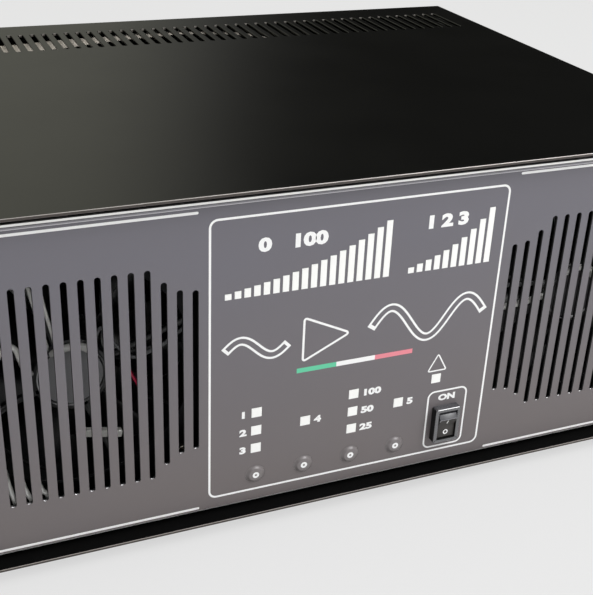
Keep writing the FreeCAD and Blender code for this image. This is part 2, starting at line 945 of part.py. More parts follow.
def blade_section(x, radius, reach, front):
    """Six points of a blade's section, wrapped round the hub's axis at a radius."""
    rise = fan_blade_depth / 2 - fan_blade_camber
    outline = [
        (-reach / 2, front),
        (0, front + rise),
        (reach / 2, front + fan_blade_depth - fan_blade_thickness),
        (reach / 2, front + fan_blade_depth),
        (0, front + rise + fan_blade_thickness),
        (-reach / 2, front + fan_blade_thickness),
    ]
    points = []
    for arc, depth in outline:
        angle = arc / radius
        points.append(spot(x + radius * math.sin(angle), depth, grille_z + radius * math.cos(angle)))
    return points


def make_blade(x):
    """Twisted, cambered blade: flat facets between sections from the hub to the tip."""
    root = fan_hub_radius - fan_blade_root_depth
    tip = fan_bore_radius - fan_blade_tip_gap
    sections = []
    for i in range(fan_blade_sections):
        share = i / (fan_blade_sections - 1)
        reach = fan_blade_root_reach + (fan_blade_tip_reach - fan_blade_root_reach) * share
        radius = root + (tip - root) * share
        sections.append(blade_section(x, radius, reach, hub_front + fan_blade_setback))
    facets = []
    for inner, outer in zip(sections, sections[1:]):
        for i in range(len(inner)):
            facets.append([inner[i - 1], inner[i], outer[i]])
            facets.append([inner[i - 1], outer[i], outer[i - 1]])
    for end in (sections[0], sections[-1]):
        facets += [[end[0], end[1], end[5]], [end[1], end[4], end[5]]]
        facets += [[end[1], end[2], end[4]], [end[2], end[3], end[4]]]
    return solid_of(facets)


def make_fan_rotor(side):
    """Fan rotor: hub, shaft stub into the motor's bearing, and a ring of twisted blades."""
    x = side * grille_x
    hub = flatted_rod(hub_flat_count, fan_hub_radius, x, grille_z, (hub_front, hub_back))
    shaft = rod(fan_shaft_radius, x, grille_z, (hub_front - fan_shaft_length, hub_front))
    parts = [shaft]
    for i in range(fan_blades):
        blade = make_blade(x)
        blade.rotate(spot(x, 0, grille_z), V(0, 1, 0), 360.0 * i / fan_blades)
        parts.append(blade)
    return hub.fuse(parts)


def make_fan_screws():
    """Screws through the front frame into the fans."""
    screws = []
    for side in (-1, 1):
        for x, z in fan_screw_places(side):
            screws.append(screw(spot(x, frame_front, z), V(0, 1, 0), sheet + fan_flange))
    return screws


# Rear panel and connectors

def socket_places():
    """X and Z of the output and the input socket."""
    return [(socket_x, output_socket_z), (socket_x, input_socket_z)]


def jack_places():
    """X and Z of the small control jacks."""
    return [(jack_x, output_socket_z - jack_pitch * i) for i in range(jack_count)]


def inlet_body(gap, depth_span):
    """Body of the mains inlet, or the hole for it when a gap is added."""
    x_span = around(inlet_x, inlet_body_width + 2 * gap)
    return block(x_span, depth_span, around(inlet_z, inlet_body_height + 2 * gap))


def make_rear_panel():
    """Sheet-steel rear panel with a bent foot, outlet slots and holes for the connectors."""
    depths = (rear_inner, rear_outer)
    plate = block((-plate_half, plate_half), depths, (floor_z, plate_high))
    foot = block((-plate_half, plate_half), (rear_outer - rear_foot, rear_outer), (floor_z, floor_z + sheet))
    cutters = upright_slots(rear_slots, 0, floor_z + rear_slots_above_floor, rear_slot_height, depths)
    cutters.append(inlet_body(inlet_panel_gap, past(depths)))
    for x, z in socket_places():
        cutters.append(flatted_rod(barrel_flat_count, socket_back_radius, x, z, past(depths)))
    for x, z in jack_places():
        cutters.append(flatted_rod(barrel_flat_count, jack_radius, x, z, past(depths)))
    cutters.append(flatted_rod(barrel_flat_count, fuse_radius, fuse_x, inlet_z, past(depths)))
    cutters.append(flatted_rod(small_flat_count, ground_radius, ground_x, ground_z, past(depths)))
    return plate.fuse(foot).removeSplitter().cut(cutters)


def make_coax_socket(place):
    """Square-flanged coaxial socket: barrel outside, solder end inside."""
    x, z = place
    flange_back = rear_outer + socket_flange_thickness
    flange = block(around(x, socket_flange), (rear_outer, flange_back), around(z, socket_flange))
    barrel = rod(socket_thread_radius, x, z, (flange_back, socket_end))
    inside = (rear_inner - socket_back, rear_outer)
    rear_end = flatted_rod(barrel_flat_count, socket_back_radius, x, z, inside)
    mouth_depths = (socket_end - socket_mouth_depth, socket_end + cut_past)
    mouth = flatted_rod(barrel_flat_count, socket_mouth_radius, x, z, mouth_depths)
    return flange.fuse([barrel, rear_end]).removeSplitter().cut(mouth)


def make_socket_contacts():
    """Insulator and hollow centre contact in the mouth of each coaxial socket."""
    bottom = socket_end - socket_mouth_depth
    step = bottom + socket_insulator
    end = step + socket_contact_length
    contacts = []
    for x, z in socket_places():
        insulator = flatted_rod(barrel_flat_count, socket_mouth_radius, x, z, (bottom, step))
        contact = flatted_rod(barrel_flat_count, socket_contact_radius, x, z, (step, end))
        bore = flatted_rod(small_flat_count, socket_contact_bore, x, z, (step, end + cut_past))
        contacts.append(insulator.fuse(contact).removeSplitter().cut(bore))
    return contacts


def make_control_jacks():
    """Round phono jacks for the control leads."""
    end = rear_outer + jack_reach
    jacks = []
    for x, z in jack_places():
        body = flatted_rod(barrel_flat_count, jack_radius, x, z, (rear_inner - jack_back, end))
        nut = flatted_rod(small_flat_count, jack_nut_radius, x, z, (rear_outer, rear_outer + jack_nut))
        bore = flatted_rod(small_flat_count, jack_pin_bore, x, z, (rear_outer, end + cut_past))
        jacks.append(body.fuse(nut).removeSplitter().cut(bore))
    return jacks


def make_ground_stud():
    """Ground stud with its fixed nut against the rear panel and a round free end."""
    nut_back = rear_outer + ground_nut
    wing_back = nut_back + wing_hub
    free_end = rod(ground_radius, ground_x, ground_z, (wing_back, rear_outer + ground_reach))
    shank_depths = (rear_inner - ground_back, wing_back)
    shank = flatted_rod(small_flat_count, ground_radius, ground_x, ground_z, shank_depths)
    nut = flatted_rod(small_flat_count, ground_nut_radius, ground_x, ground_z, (rear_outer, nut_back))
    return nut.fuse([shank, free_end]).removeSplitter()


def make_wing_nut():
    """Wing nut on the ground stud: a round hub with two wings that slope away from it."""
    front = rear_outer + ground_nut
    back = front + wing_hub
    hub = flatted_rod(barrel_flat_count, wing_hub_radius, ground_x, ground_z, (front, back))
    half = wing_thickness / 2
    wings = []
    for side in (-1, 1):
        inner = ground_x + side * (ground_radius + wing_hub_radius) / 2
        outer = ground_x + side * wing_span / 2
        outline = [
            (inner, front),
            (ground_x + side * wing_hub_radius, front),
            (outer, front + wing_height / 2),
            (outer, front + wing_height),
            (inner, back),
        ]
        points = [spot(x, depth, ground_z - half) for x, depth in outline]
        wings.append(prism(points, V(0, 0, wing_thickness)))
    bore_radius = ground_radius + wing_clearance
    bore = flatted_rod(small_flat_count, bore_radius, ground_x, ground_z, past((front, back)))
    return hub.fuse(wings).removeSplitter().cut(bore)


def make_mains_inlet():
    """Mains inlet: flange outside, body inside and a deep mouth for the plug."""
    end = rear_outer + inlet_flange_thickness
    x_span = around(inlet_x, inlet_flange_width)
    z_span = around(inlet_z, inlet_flange_height)
    flange = clipped_block(x_span, (rear_outer, end), z_span, inlet_corner)
    body = inlet_body(0, (rear_outer - inlet_body_depth, rear_outer))
    mouth_depths = (end - inlet_mouth_depth, end + cut_past)
    mouth_z = around(inlet_z, inlet_mouth_height)
    mouth = block(around(inlet_x, inlet_mouth_width), mouth_depths, mouth_z)
    return flange.fuse(body).removeSplitter().cut(mouth)


def make_inlet_pins():
    """Three flat pins of the mains inlet, the middle one higher."""
    start = rear_outer + inlet_flange_thickness - inlet_mouth_depth
    pins = []
    for step in (-1, 0, 1):
        low = inlet_z if step == 0 else inlet_z - inlet_pin_height
        x_span = around(inlet_x + step * inlet_pin_spread, inlet_pin_width)
        pins.append(block(x_span, (start, start + inlet_pin_length), (low, low + inlet_pin_height)))
    return pins


def make_fuse_holder():
    """Fuse holder: collar outside, barrel inside."""
    collar_depths = (rear_outer, rear_outer + fuse_collar)
    collar = flatted_rod(barrel_flat_count, fuse_collar_radius, fuse_x, inlet_z, collar_depths)
    barrel_depths = (rear_inner - fuse_back, rear_outer)
    barrel = flatted_rod(barrel_flat_count, fuse_radius, fuse_x, inlet_z, barrel_depths)
    return collar.fuse(barrel).removeSplitter()


def make_fuse_cap():
    """Cap of the fuse holder, with a groove across it."""
    front = rear_outer + fuse_collar
    end = front + fuse_cap_reach
    cap = flatted_rod(barrel_flat_count, fuse_cap_radius, fuse_x, inlet_z, (front, end))
    groove_depths = (end - fuse_cap_groove, end + cut_past)
    groove_x = past(around(fuse_x, 2 * fuse_cap_radius))
    return cap.cut(block(groove_x, groove_depths, around(inlet_z, fuse_cap_groove)))


# Heatsink and radio boards

def make_heatsink():
    """Extruded heatsink, fins down, standing on the tray."""
    depths = (sink_front, sink_back)
    fin_top = sink_top - sink_base
    pitch = (sink_right - sink_left - sink_fin) / (sink_fin_count - 1)
    fins = []
    for i in range(sink_fin_count):
        x = sink_left + pitch * i
        fins.append(block((x, x + sink_fin), depths, (floor_z, fin_top)))
    base = block((sink_left, sink_right), depths, (fin_top, sink_top))
    return base.fuse(fins).removeSplitter()


def make_copper_spreader():
    """Copper plate between the heatsink and the amplifier board."""
    x_span = (spreader_left, spreader_right)
    return block(x_span, (spreader_front, spreader_back), (sink_top, spreader_top))


def transistor_xs():
    """X of each power transistor."""
    first = spreader_middle - transistor_pitch * (transistor_count - 1) / 2
    return [first + transistor_pitch * i for i in range(transistor_count)]


def transistor_blocks(gap, z_span):
    """Power transistors, or the cut-outs for them when a gap is added."""
    middle = (spreader_front + spreader_back) / 2
    depths = around(middle, transistor_depth + 2 * gap)
    width = transistor_width + 2 * gap
    return [block(around(x, width), depths, z_span) for x in transistor_xs()]


def make_rf_board():
    """Amplifier board on the copper plate, cut out round the transistors."""
    x_span = (spreader_left + rf_board_margin, spreader_right - rf_board_margin)
    depths = (spreader_front + rf_board_margin, spreader_back - rf_board_margin)
    z_span = (spreader_top, rf_board_top)
    return block(x_span, depths, z_span).cut(transistor_blocks(transistor_gap, past(z_span)))


def make_rf_transistors():
    """Flanged power transistors, bolted to the copper plate."""
    return transistor_blocks(0, (spreader_top, spreader_top + transistor_height))


def core_depths():
    """Depth span of the output transformer's core, behind the transistors."""
    front = (spreader_front + spreader_back + transistor_depth) / 2 + core_behind_transistors
    return (front, front + core_depth)


def core_hole_places():
    """X and Z of the two holes through the transformer's core."""
    z = rf_board_top + core_height / 2
    return [(x, z) for x in around(spreader_middle, core_hole_pitch)]


def make_transformer_core():
    """Ferrite core of the output transformer, with two holes."""
    z_span = (rf_board_top, rf_board_top + core_height)
    core = block(around(spreader_middle, core_width), core_depths(), z_span)
    cutters = []
    for x, z in core_hole_places():
        cutters.append(flatted_rod(barrel_flat_count, core_hole_radius, x, z, past(core_depths())))
    return core.cut(cutters)


def make_transformer_tubes():
    """Copper tubes through the core's holes."""
    front, back = core_depths()
    span = (front - core_tube_end, back + core_tube_end)
    tubes = []
    for x, z in core_hole_places():
        tube = flatted_rod(barrel_flat_count, core_hole_radius - core_tube_gap, x, z, span)
        tubes.append(tube.cut(flatted_rod(barrel_flat_count, core_tube_bore, x, z, past(span))))
    return tubes


def make_capacitors():
    """Reservoir capacitors standing on the front of the amplifier board."""
    depth = spreader_front + rf_board_margin + capacitor_radius
    z_span = (rf_board_top, rf_board_top + capacitor_height)
    first = spreader_middle - capacitor_pitch * (capacitor_count - 1) / 2
    xs = [first + capacitor_pitch * i for i in range(capacitor_count)]
    return [post(barrel_flat_count, capacitor_radius, x, depth, z_span) for x in xs]


def filter_depths():
    """Depth span of the output filter board."""
    return (sink_front + filter_board_end, sink_back - filter_board_end)


def in_a_row(count, pitch):
    """Depths of pieces in a row along the filter board."""
    front, back = filter_depths()
    first = (front + back - pitch * (count - 1)) / 2
    return [first + pitch * i for i in range(count)]


def make_filter_board():
    """Output filter board on pillars over the heatsink."""
    return block((filter_left, filter_right), filter_depths(), (filter_low, filter_top))


def make_filter_pillars():
    """Hexagonal pillars under the corners of the filter board."""
    front, back = filter_depths()
    pillars = []
    for x in (filter_left + filter_pillar_inset, filter_right - filter_pillar_inset):
        for depth in (front + filter_pillar_inset, back - filter_pillar_inset):
            pillars.append(post(small_flat_count, standoff_radius, x, depth, (sink_top, filter_low)))
    return pillars


def make_filter_coils():
    """Ring cores of the output filter, in a row on the board."""
    x = filter_left + coil_from_edge
    z_span = (filter_top, filter_top + coil_height)
    coils = []
    for depth in in_a_row(coil_count, coil_pitch):
        ring = post(barrel_flat_count, coil_radius, x, depth, z_span)
        coils.append(ring.cut(post(barrel_flat_count, coil_bore, x, depth, past(z_span))))
    return coils


def make_filter_relays():
    """Band relays beside the coils."""
    x_span = around(filter_right - relay_from_edge, relay_width)
    z_span = (filter_top, filter_top + relay_height)
    return [block(x_span, around(d, relay_depth), z_span) for d in in_a_row(relay_count, relay_pitch)]


# Power supply

def make_supply_case():
    """Aluminium case of the power supply on small feet, slotted at the front for the fan's air."""
    spans = ((supply_left, supply_right), (supply_front, supply_back), (supply_low, supply_high))
    hollow = block(*[(low + supply_wall, high - supply_wall) for low, high in spans])
    middle_x = (supply_left + supply_right) / 2
    middle_z = (supply_low + supply_high) / 2
    wall = (supply_front, supply_front + supply_wall)
    slots = []
    for i in range(supply_slots):
        x = middle_x + slot_pitch * (i - (supply_slots - 1) / 2)
        slots.append(block(around(x, slot_width), past(wall), around(middle_z, supply_slot_height)))
    feet = []
    for x in (supply_left, supply_right - supply_foot_size):
        for depth in (supply_front, supply_back - supply_foot_size):
            foot_depths = (depth, depth + supply_foot_size)
            feet.append(block((x, x + supply_foot_size), foot_depths, (floor_z, supply_low)))
    return block(*spans).cut([hollow] + slots).fuse(feet).removeSplitter()


def make_supply_terminals():
    """Output terminal block on the back of the power supply."""
    x_span = around((supply_left + supply_right) / 2, terminal_block_width)
    high = supply_high - terminal_block_below_top
    depths = (supply_back, supply_back + terminal_block_depth)
    return block(x_span, depths, (high - terminal_block_height, high))


def main():
    """Builds every node and writes its STEP file."""
    os.makedirs("parts", exist_ok=True)
    save("top_cover", [make_top_cover()])
    save("bottom_tray", [make_bottom_tray()])
    save("cover_screws", make_cover_screws())
    save("feet", make_feet())
    save("front_panel", [make_front_panel()])
    save("front_film", [make_front_film()])
    save("bar_light_guides", make_bar_guides())
    save("status_light_guides", window_blocks(window_size - 2 * guide_gap, (0, board_front)))
    for number, x in enumerate(column_xs, start=1):
        save("button_%d" % number, [make_button(x)])
    save("display_board", [make_display_board()])
    save("display_standoffs", make_board_standoffs())
    save("tact_switches", make_tact_switches())
    save("rocker_switch_body", [make_switch_body()])
    save("rocker", [make_rocker()])
    save("rocker_terminals", make_switch_terminals())
    save("front_frame", [make_front_frame()])
    save("panel_studs", make_panel_studs())
    save("panel_nuts", make_panel_nuts())
    save("left_fan_frame", [make_fan_frame(-1)])
    save("right_fan_frame", [make_fan_frame(1)])
    save("left_fan_rotor", [make_fan_rotor(-1)])
    save("right_fan_rotor", [make_fan_rotor(1)])
    save("fan_screws", make_fan_screws())
    save("rear_panel", [make_rear_panel()])
    save("output_socket", [make_coax_socket(socket_places()[0])])
    save("input_socket", [make_coax_socket(socket_places()[1])])
    save("socket_contacts", make_socket_contacts())
    save("control_jacks", make_control_jacks())
    save("ground_stud", [make_ground_stud()])
    save("wing_nut", [make_wing_nut()])
    save("mains_inlet", [make_mains_inlet()])
    save("inlet_pins", make_inlet_pins())
    save("fuse_holder", [make_fuse_holder()])
    save("fuse_cap", [make_fuse_cap()])
    save("supply_case", [make_supply_case()])
    save("supply_terminals", [make_supply_terminals()])
    save("heatsink", [make_heatsink()])
    save("copper_spreader", [make_copper_spreader()])
    save("rf_board", [make_rf_board()])
    save("rf_transistors", make_rf_transistors())
    save("transformer_core", [make_transformer_core()])
    save("transformer_tubes", make_transformer_tubes())
    save("reservoir_capacitors", make_capacitors())
    save("filter_board", [make_filter_board()])
    save("filter_pillars", make_filter_pillars())
    save("filter_coils", make_filter_coils())
    save("filter_relays", make_filter_relays())
    print("rocker pivot", spot(rocker_x, pivot_depth, rocker_z), "fan axis", grille_x, grille_z)
    print("output socket end", spot(socket_x, socket_end, output_socket_z), "input", input_socket_z)
    print("ground stud end", spot(ground_x, rear_outer + ground_reach, ground_z))
    print("inlet mouth", spot(inlet_x, rear_outer + inlet_flange_thickness, inlet_z))
    print("feet", case_width / 2 - foot_inset, y_at(foot_inset - lip_ahead), y_at(rear_edge - foot_inset))


main()
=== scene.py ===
"""HF linear amplifier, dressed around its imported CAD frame.

The frame fixes every size and place. This script lays finished surfaces over it: folded
sheet steel with round-ended slots, a printed film, moulded switches, fans with wrapped
blades, threaded connectors and wiring. Lengths are in millimetres until a mesh is made.
Across is X, depth is Y and grows towards the back, and up is Z.
"""

import math

import bmesh
import bpy
import numpy as np
from mathutils import Matrix, Vector
from mathutils.geometry import delaunay_2d_cdt


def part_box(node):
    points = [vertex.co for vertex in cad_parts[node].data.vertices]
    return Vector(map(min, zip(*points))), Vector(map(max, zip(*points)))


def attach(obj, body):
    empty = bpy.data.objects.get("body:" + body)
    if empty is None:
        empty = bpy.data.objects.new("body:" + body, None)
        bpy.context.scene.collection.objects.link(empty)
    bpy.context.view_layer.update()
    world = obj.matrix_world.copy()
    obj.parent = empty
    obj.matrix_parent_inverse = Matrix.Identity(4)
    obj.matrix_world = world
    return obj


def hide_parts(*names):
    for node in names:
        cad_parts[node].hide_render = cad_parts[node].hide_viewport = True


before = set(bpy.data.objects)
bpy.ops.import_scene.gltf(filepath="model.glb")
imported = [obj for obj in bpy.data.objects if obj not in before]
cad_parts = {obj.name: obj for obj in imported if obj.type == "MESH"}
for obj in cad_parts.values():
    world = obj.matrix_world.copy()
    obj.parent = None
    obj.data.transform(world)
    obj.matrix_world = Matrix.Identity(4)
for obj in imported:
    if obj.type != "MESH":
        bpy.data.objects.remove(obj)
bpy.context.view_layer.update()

MM = 0.001


# Places read from the frame

def box(node):
    """Lowest and highest corner of a CAD node, in millimetres."""
    low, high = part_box(node)
    return np.array(low) / MM, np.array(high) / MM


def middle(node):
    """Middle of a CAD node's box, in millimetres."""
    low, high = box(node)
    return (low + high) / 2


def solids(node):
    """Lowest and highest corner of each separate solid of a CAD node, in millimetres."""
    net = bmesh.new()
    net.from_mesh(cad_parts[node].data)
    bmesh.ops.remove_doubles(net, verts=net.verts, dist=1e-6)
    net.verts.ensure_lookup_table()
    left, found = set(net.verts), []
    while left:
        front, island = [left.pop()], []
        while front:
            vert = front.pop()
            island.append(tuple(vert.co))
            for edge in vert.link_edges:
                other = edge.other_vert(vert)
                if other in left:
                    left.remove(other)
                    front.append(other)
        points = np.array(island) / MM
        found.append((points.min(0), points.max(0)))
    net.free()
    return sorted(found, key=lambda pair: tuple(np.round(pair[0], 2)))


def middles(node):
    """Middle of each separate solid of a CAD node, in millimetres."""
    return [(low + high) / 2 for low, high in solids(node)]


sheet = 1.5
case_low, case_high = box("top_cover")
tray_low, tray_high = box("bottom_tray")
film_low, film_high = box("front_film")
panel_low, panel_high = box("front_panel")
front_low, front_high = box("front_frame")
rear_low, rear_high = box("rear_panel")
fan_low, fan_high = box("left_fan_frame")
face_y = film_low[1]
rear_y = rear_high[1]
floor_z = tray_low[2] + sheet


# Surfaces, each a set of points and the faces over them

def turns(steps):
    """Evenly spaced angles right round."""
    return np.arange(steps) * 2 * np.pi / steps


def grid_faces(rows, columns):
    """Quads over a grid of points, closed round along its columns."""
    index = np.arange(rows * columns).reshape(rows, columns)
    here, right = index[:-1], np.roll(index, -1, 1)[:-1]
    above, above_right = index[1:], np.roll(index, -1, 1)[1:]
    return np.stack([here, right, above_right, above], -1).reshape(-1, 4)


def loft(rings, caps=(True, True)):
    """Skin over closed rings of points (ring, point, xyz), with a flat face on each end."""
    rings = np.asarray(rings, float)
    rows, columns = rings.shape[:2]
    faces = grid_faces(rows, columns).tolist()
    if caps[0]:
        faces.append(list(range(columns))[::-1])
    if caps[1]:
        faces.append(list(range((rows - 1) * columns, rows * columns)))
    return rings.reshape(-1, 3), faces


def inset(loop, distance):
    """Moves a closed loop inwards: each point along the bisector of its two edges' normals."""
    ahead = np.roll(loop, -1, 0) - loop
    ahead /= np.linalg.norm(ahead, axis=1, keepdims=True)
    normal = np.column_stack([-ahead[:, 1], ahead[:, 0]])
    before = np.roll(normal, 1, 0)
    share = 1 + np.sum(normal * before, 1, keepdims=True)
    return loop + distance * (normal + before) / share


def rounded(corners, radius, steps=6):
    """Polygon with rounded corners: an arc about each corner's own centre, set in by the radius."""
    corners = np.asarray(corners, float)
    centres = inset(corners, radius)
    ahead = np.roll(corners, -1, 0) - corners
    start = np.arctan2(ahead[:, 1], ahead[:, 0])
    before = np.roll(start, 1)
    turn = (start - before) % (2 * np.pi)
    share = np.linspace(0, 1, steps + 1)
    angle = before[:, None] - np.pi / 2 + turn[:, None] * share
    points = centres[:, None] + radius * np.stack([np.cos(angle), np.sin(angle)], -1)
    points = points.reshape(-1, 2)
    apart = np.linalg.norm(np.roll(points, -1, 0) - points, axis=1) > 1e-5
    return points[apart]


def rectangle(x, z, width, height, radius, steps=6):
    """Rectangle with rounded corners, about its middle across and up."""
    u, v = width / 2, height / 2
    return rounded([(x - u, z - v), (x + u, z - v), (x + u, z + v), (x - u, z + v)], radius, steps)


def upright(x_span, z_span, radius):
    """Rectangle with rounded corners between two places across and two up."""
    return rectangle(sum(x_span) / 2, sum(z_span) / 2, x_span[1] - x_span[0], z_span[1] - z_span[0], radius)


def circle(x, z, radius, steps=48):
    """Circle of evenly spaced points."""
    angle = turns(steps)
    return np.column_stack([x + radius * np.cos(angle), z + radius * np.sin(angle)])


def six_sided(x, z, radius):
    """Hexagon with barely rounded corners, by the radius of its corners."""
    return rounded(circle(x, z, radius, 6), 0.3, 3)


def blank(low, high, lines, axis=0):
    """Rectangle with extra points where fold lines cross it; the lines join its opposite sides."""
    along = np.array([low[axis], *sorted(lines), high[axis]], float)
    near = np.column_stack([along, np.full(len(along), low[1 - axis])])
    far = np.column_stack([along[::-1], np.full(len(along), high[1 - axis])])
    loop = np.concatenate([near, far])
    if axis:
        loop = loop[::-1, ::-1]
    count = len(loop)
    return loop, [(i, count - 1 - i) for i in range(1, len(along) - 1)]


def sheet_metal(outline, holes, levels, folds=()):
    """Sheet with holes. Levels are (height through the sheet, bevel) from one face to the other.

    Each loop's wall is a grid of loop point by level. Both faces are the triangles of a
    constrained Delaunay net over the loops, without those that have all corners on one hole.
    """
    loops = [np.asarray(outline, float)] + [np.asarray(hole, float) for hole in holes]
    counts = [len(loop) for loop in loops]
    starts = np.concatenate([[0], np.cumsum(counts)])
    owner = np.repeat(np.arange(len(loops)), counts)
    flat, rings = [], []
    for number, loop in enumerate(loops):
        sign = 1 if number == 0 else -1
        section = [np.column_stack([inset(loop, sign * bevel), np.full(len(loop), height)])
                   for height, bevel in levels]
        rings.append(np.stack(section))
        flat.append(section[0][:, :2])
    corners = np.concatenate(flat)
    edges = [(int(a + i), int(a + (i + 1) % n)) for a, n in zip(starts, counts) for i in range(n)]
    net = delaunay_2d_cdt([Vector(p) for p in corners], edges + list(folds), [], 0, 1e-6)
    source = np.array([ids[0] for ids in net[3]])
    triangles = source[np.array(net[2])]
    kinds = owner[triangles]
    in_hole = (kinds[:, 0] == kinds[:, 1]) & (kinds[:, 1] == kinds[:, 2]) & (kinds[:, 0] > 0)
    triangles = triangles[~in_hole]
    total = starts[-1]
    points = np.concatenate([np.concatenate([ring[k] for ring in rings]) for k in range(len(levels))])
    faces = triangles.tolist() + (triangles[:, ::-1] + total * (len(levels) - 1)).tolist()
    for number, count in enumerate(counts):
        index = np.arange(count) + starts[number]
        for k in range(len(levels) - 1):
            here, above = index + k * total, index + (k + 1) * total
            faces += np.stack([here, np.roll(here, -1), np.roll(above, -1), above], 1).tolist()
    return points, faces


def bevelled(thickness, bevel):
    """Levels of a sheet with a small bevel at both faces."""
    return [(0.0, bevel), (bevel, 0), (thickness - bevel, 0), (thickness, bevel)]


def facing_front(surface, y):
    """Turns (across, up, depth) into part places, depth counted from a Y."""
    points, faces = surface
    return np.column_stack([points[:, 0], points[:, 2] + y, points[:, 1]]), faces


def split(surface, chosen):
    """Parts a surface in two by a test on its faces' middles and unit normals."""
    points, faces = surface
    corners = points[np.array([face[:3] for face in faces])]
    normal = np.cross(corners[:, 1] - corners[:, 0], corners[:, 2] - corners[:, 0])
    normal /= np.linalg.norm(normal, axis=1, keepdims=True) + 1e-12
    picked = chosen(corners.mean(1), normal)
    return [(points, [face for face, pick in zip(faces, picked) if pick == side]) for side in (True, False)]


def square_to(axis):
    """An axis as an array, with two unit vectors square to it and to each other."""
    axis = np.asarray(axis, float)
    first = np.cross(axis, (0.0, 0, 1) if abs(axis[2]) < 0.9 else (1.0, 0, 0))
    first /= np.linalg.norm(first)
    return axis, first, np.cross(axis, first)


def lathe(profile, place, steps, axis=(0, 1, 0), caps=(False, False)):
    """Turned shape: a profile of (radius, distance) pairs carried round an axis."""
    profile = np.asarray(profile, float)
    axis, first, second = square_to(axis)
    angle = turns(steps)
    spoke = np.cos(angle)[:, None] * first + np.sin(angle)[:, None] * second
    rings = profile[:, 0, None, None] * spoke + profile[:, 1, None, None] * axis + np.asarray(place, float)
    return loft(rings, caps)


def hoop(profile, place, steps):
    """Closed ring: a closed profile carried round the depth axis."""
    return lathe([*profile, profile[0]], place, steps)


def stack(sections, y=0.0, caps=(True, True)):
    """Loft over (loop across and up, depth) sections that all have as many points."""
    rings = [np.column_stack([loop[:, 0], np.full(len(loop), y + depth), loop[:, 1]])
             for loop, depth in sections]
    return loft(rings, caps)


def moulding(x, z, sections, steps, y=0.0):
    """Loft over rounded rectangles: (width, height, corner radius, depth) sections about one middle."""
    return stack([(rectangle(x, z, w, h, r, steps), depth) for w, h, r, depth in sections], y)


def cross_headed(place, axis, radius, height):
    """Round head with a tapered cross.

    At a share s of the radius it is h (1 - 0.35 s^2) high, less a rim and the cross. The rim is a
    quarter ellipse over the last tenth. The cross is as deep as its nearer arm allows.
    """
    share = np.concatenate([[0.02], np.linspace(0.06, 0.9, 15), [0.95, 0.985, 1.0]])[:, None]
    angle = turns(64)
    u, v = radius * share * np.cos(angle), radius * share * np.sin(angle)
    rim = 0.22 * height * (1 - np.sqrt(np.clip(1 - np.clip((share - 0.9) / 0.1, 0, 1) ** 2, 0, 1)))
    arm, half_width = 0.58 * radius, 0.17 * radius
    across, along = np.minimum(np.abs(u), np.abs(v)), np.maximum(np.abs(u), np.abs(v))
    sides, ends = (half_width - across) / 0.18, (arm - along) / (0.45 * arm)
    cross = 0.62 * height * np.clip(sides, 0, 1) * np.clip(ends, 0, 1)
    rise = height - 0.35 * height * share ** 2 - rim - cross
    axis, first, second = square_to(axis)
    rings = u[..., None] * first + v[..., None] * second + rise[..., None] * axis + np.asarray(place, float)
    foot = rings[-1:] - rise[-1:, :, None] * axis
    return loft(np.concatenate([rings, foot]))


def smooth_line(route, samples):
    """Smooth curve (Catmull-Rom) through a route's points."""
    route = np.asarray(route, float)
    ends = np.concatenate([[2 * route[0] - route[1]], route, [2 * route[-1] - route[-2]]])
    share = np.linspace(0, len(route) - 1 - 1e-9, samples)
    span = share.astype(int)
    t = (share - span)[:, None]
    a, b, c, d = (ends[span + k] for k in range(4))
    square, cube = 2 * a - 5 * b + 4 * c - d, 3 * b - a - 3 * c + d
    return 0.5 * (2 * b + (c - a) * t + square * t ** 2 + cube * t ** 3)


def tube(route, radius):
    """Round tube: a circle carried along a smooth curve, with each ring turned as little as can be."""
    sides, samples = 10, 48
    line = smooth_line(route, samples)
    along = np.gradient(line, axis=0)
    along /= np.linalg.norm(along, axis=1, keepdims=True)
    across = np.empty_like(along)
    across[0] = np.cross(along[0], (0.31, 0.17, 0.94))
    for k in range(1, samples):
        across[k] = across[k - 1] - along[k] * np.dot(across[k - 1], along[k])
    across /= np.linalg.norm(across, axis=1, keepdims=True)
    other = np.cross(along, across)
    angle = turns(sides)
    spoke = np.cos(angle)[None, :, None] * across[:, None] + np.sin(angle)[None, :, None] * other[:, None]
    return loft(line[:, None] + radius * spoke)


# Pieces

sharp_angle = math.radians(32)


def placed(name, data):
    """New object in the scene from a mesh, curve, light or camera."""
    thing = bpy.data.objects.new(name, data)
    bpy.context.scene.collection.objects.link(thing)
    return thing


def piece(name, parts, slot, *stands_for, body="case"):
    """One object from (surface, finish) parts, which stands for the CAD nodes that are named.

    Seams are merged, faces turned outwards, and edges are smooth up to sharp_angle.
    """
    data = bpy.data.meshes.new(name)
    finishes, points, faces, owners, offset = [], [], [], [], 0
    for (part_points, part_faces), finish in parts:
        if finish not in finishes:
            finishes.append(finish)
        points.append(np.asarray(part_points, float) * MM)
        faces += [[int(i) + offset for i in face] for face in part_faces]
        owners += [finishes.index(finish)] * len(part_faces)
        offset += len(part_points)
    data.from_pydata(np.concatenate(points).tolist(), [], faces)
    for finish in finishes:
        data.materials.append(finish)
    data.polygons.foreach_set("material_index", owners)
    net = bmesh.new()
    net.from_mesh(data)
    bmesh.ops.remove_doubles(net, verts=net.verts, dist=1e-7)
    bmesh.ops.dissolve_degenerate(net, edges=net.edges, dist=1e-8)
    bmesh.ops.recalc_face_normals(net, faces=net.faces)
    net.to_mesh(data)
    net.free()
    data.shade_smooth()
    data.set_sharp_from_angle(angle=sharp_angle)
    thing = placed(name, data)
    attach(thing, body)
    if stands_for:
        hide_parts(*stands_for)


def in_finish(finish, surfaces):
    """Pairs each surface with one finish."""
    return [(surface, finish) for surface in surfaces]


# Finishes

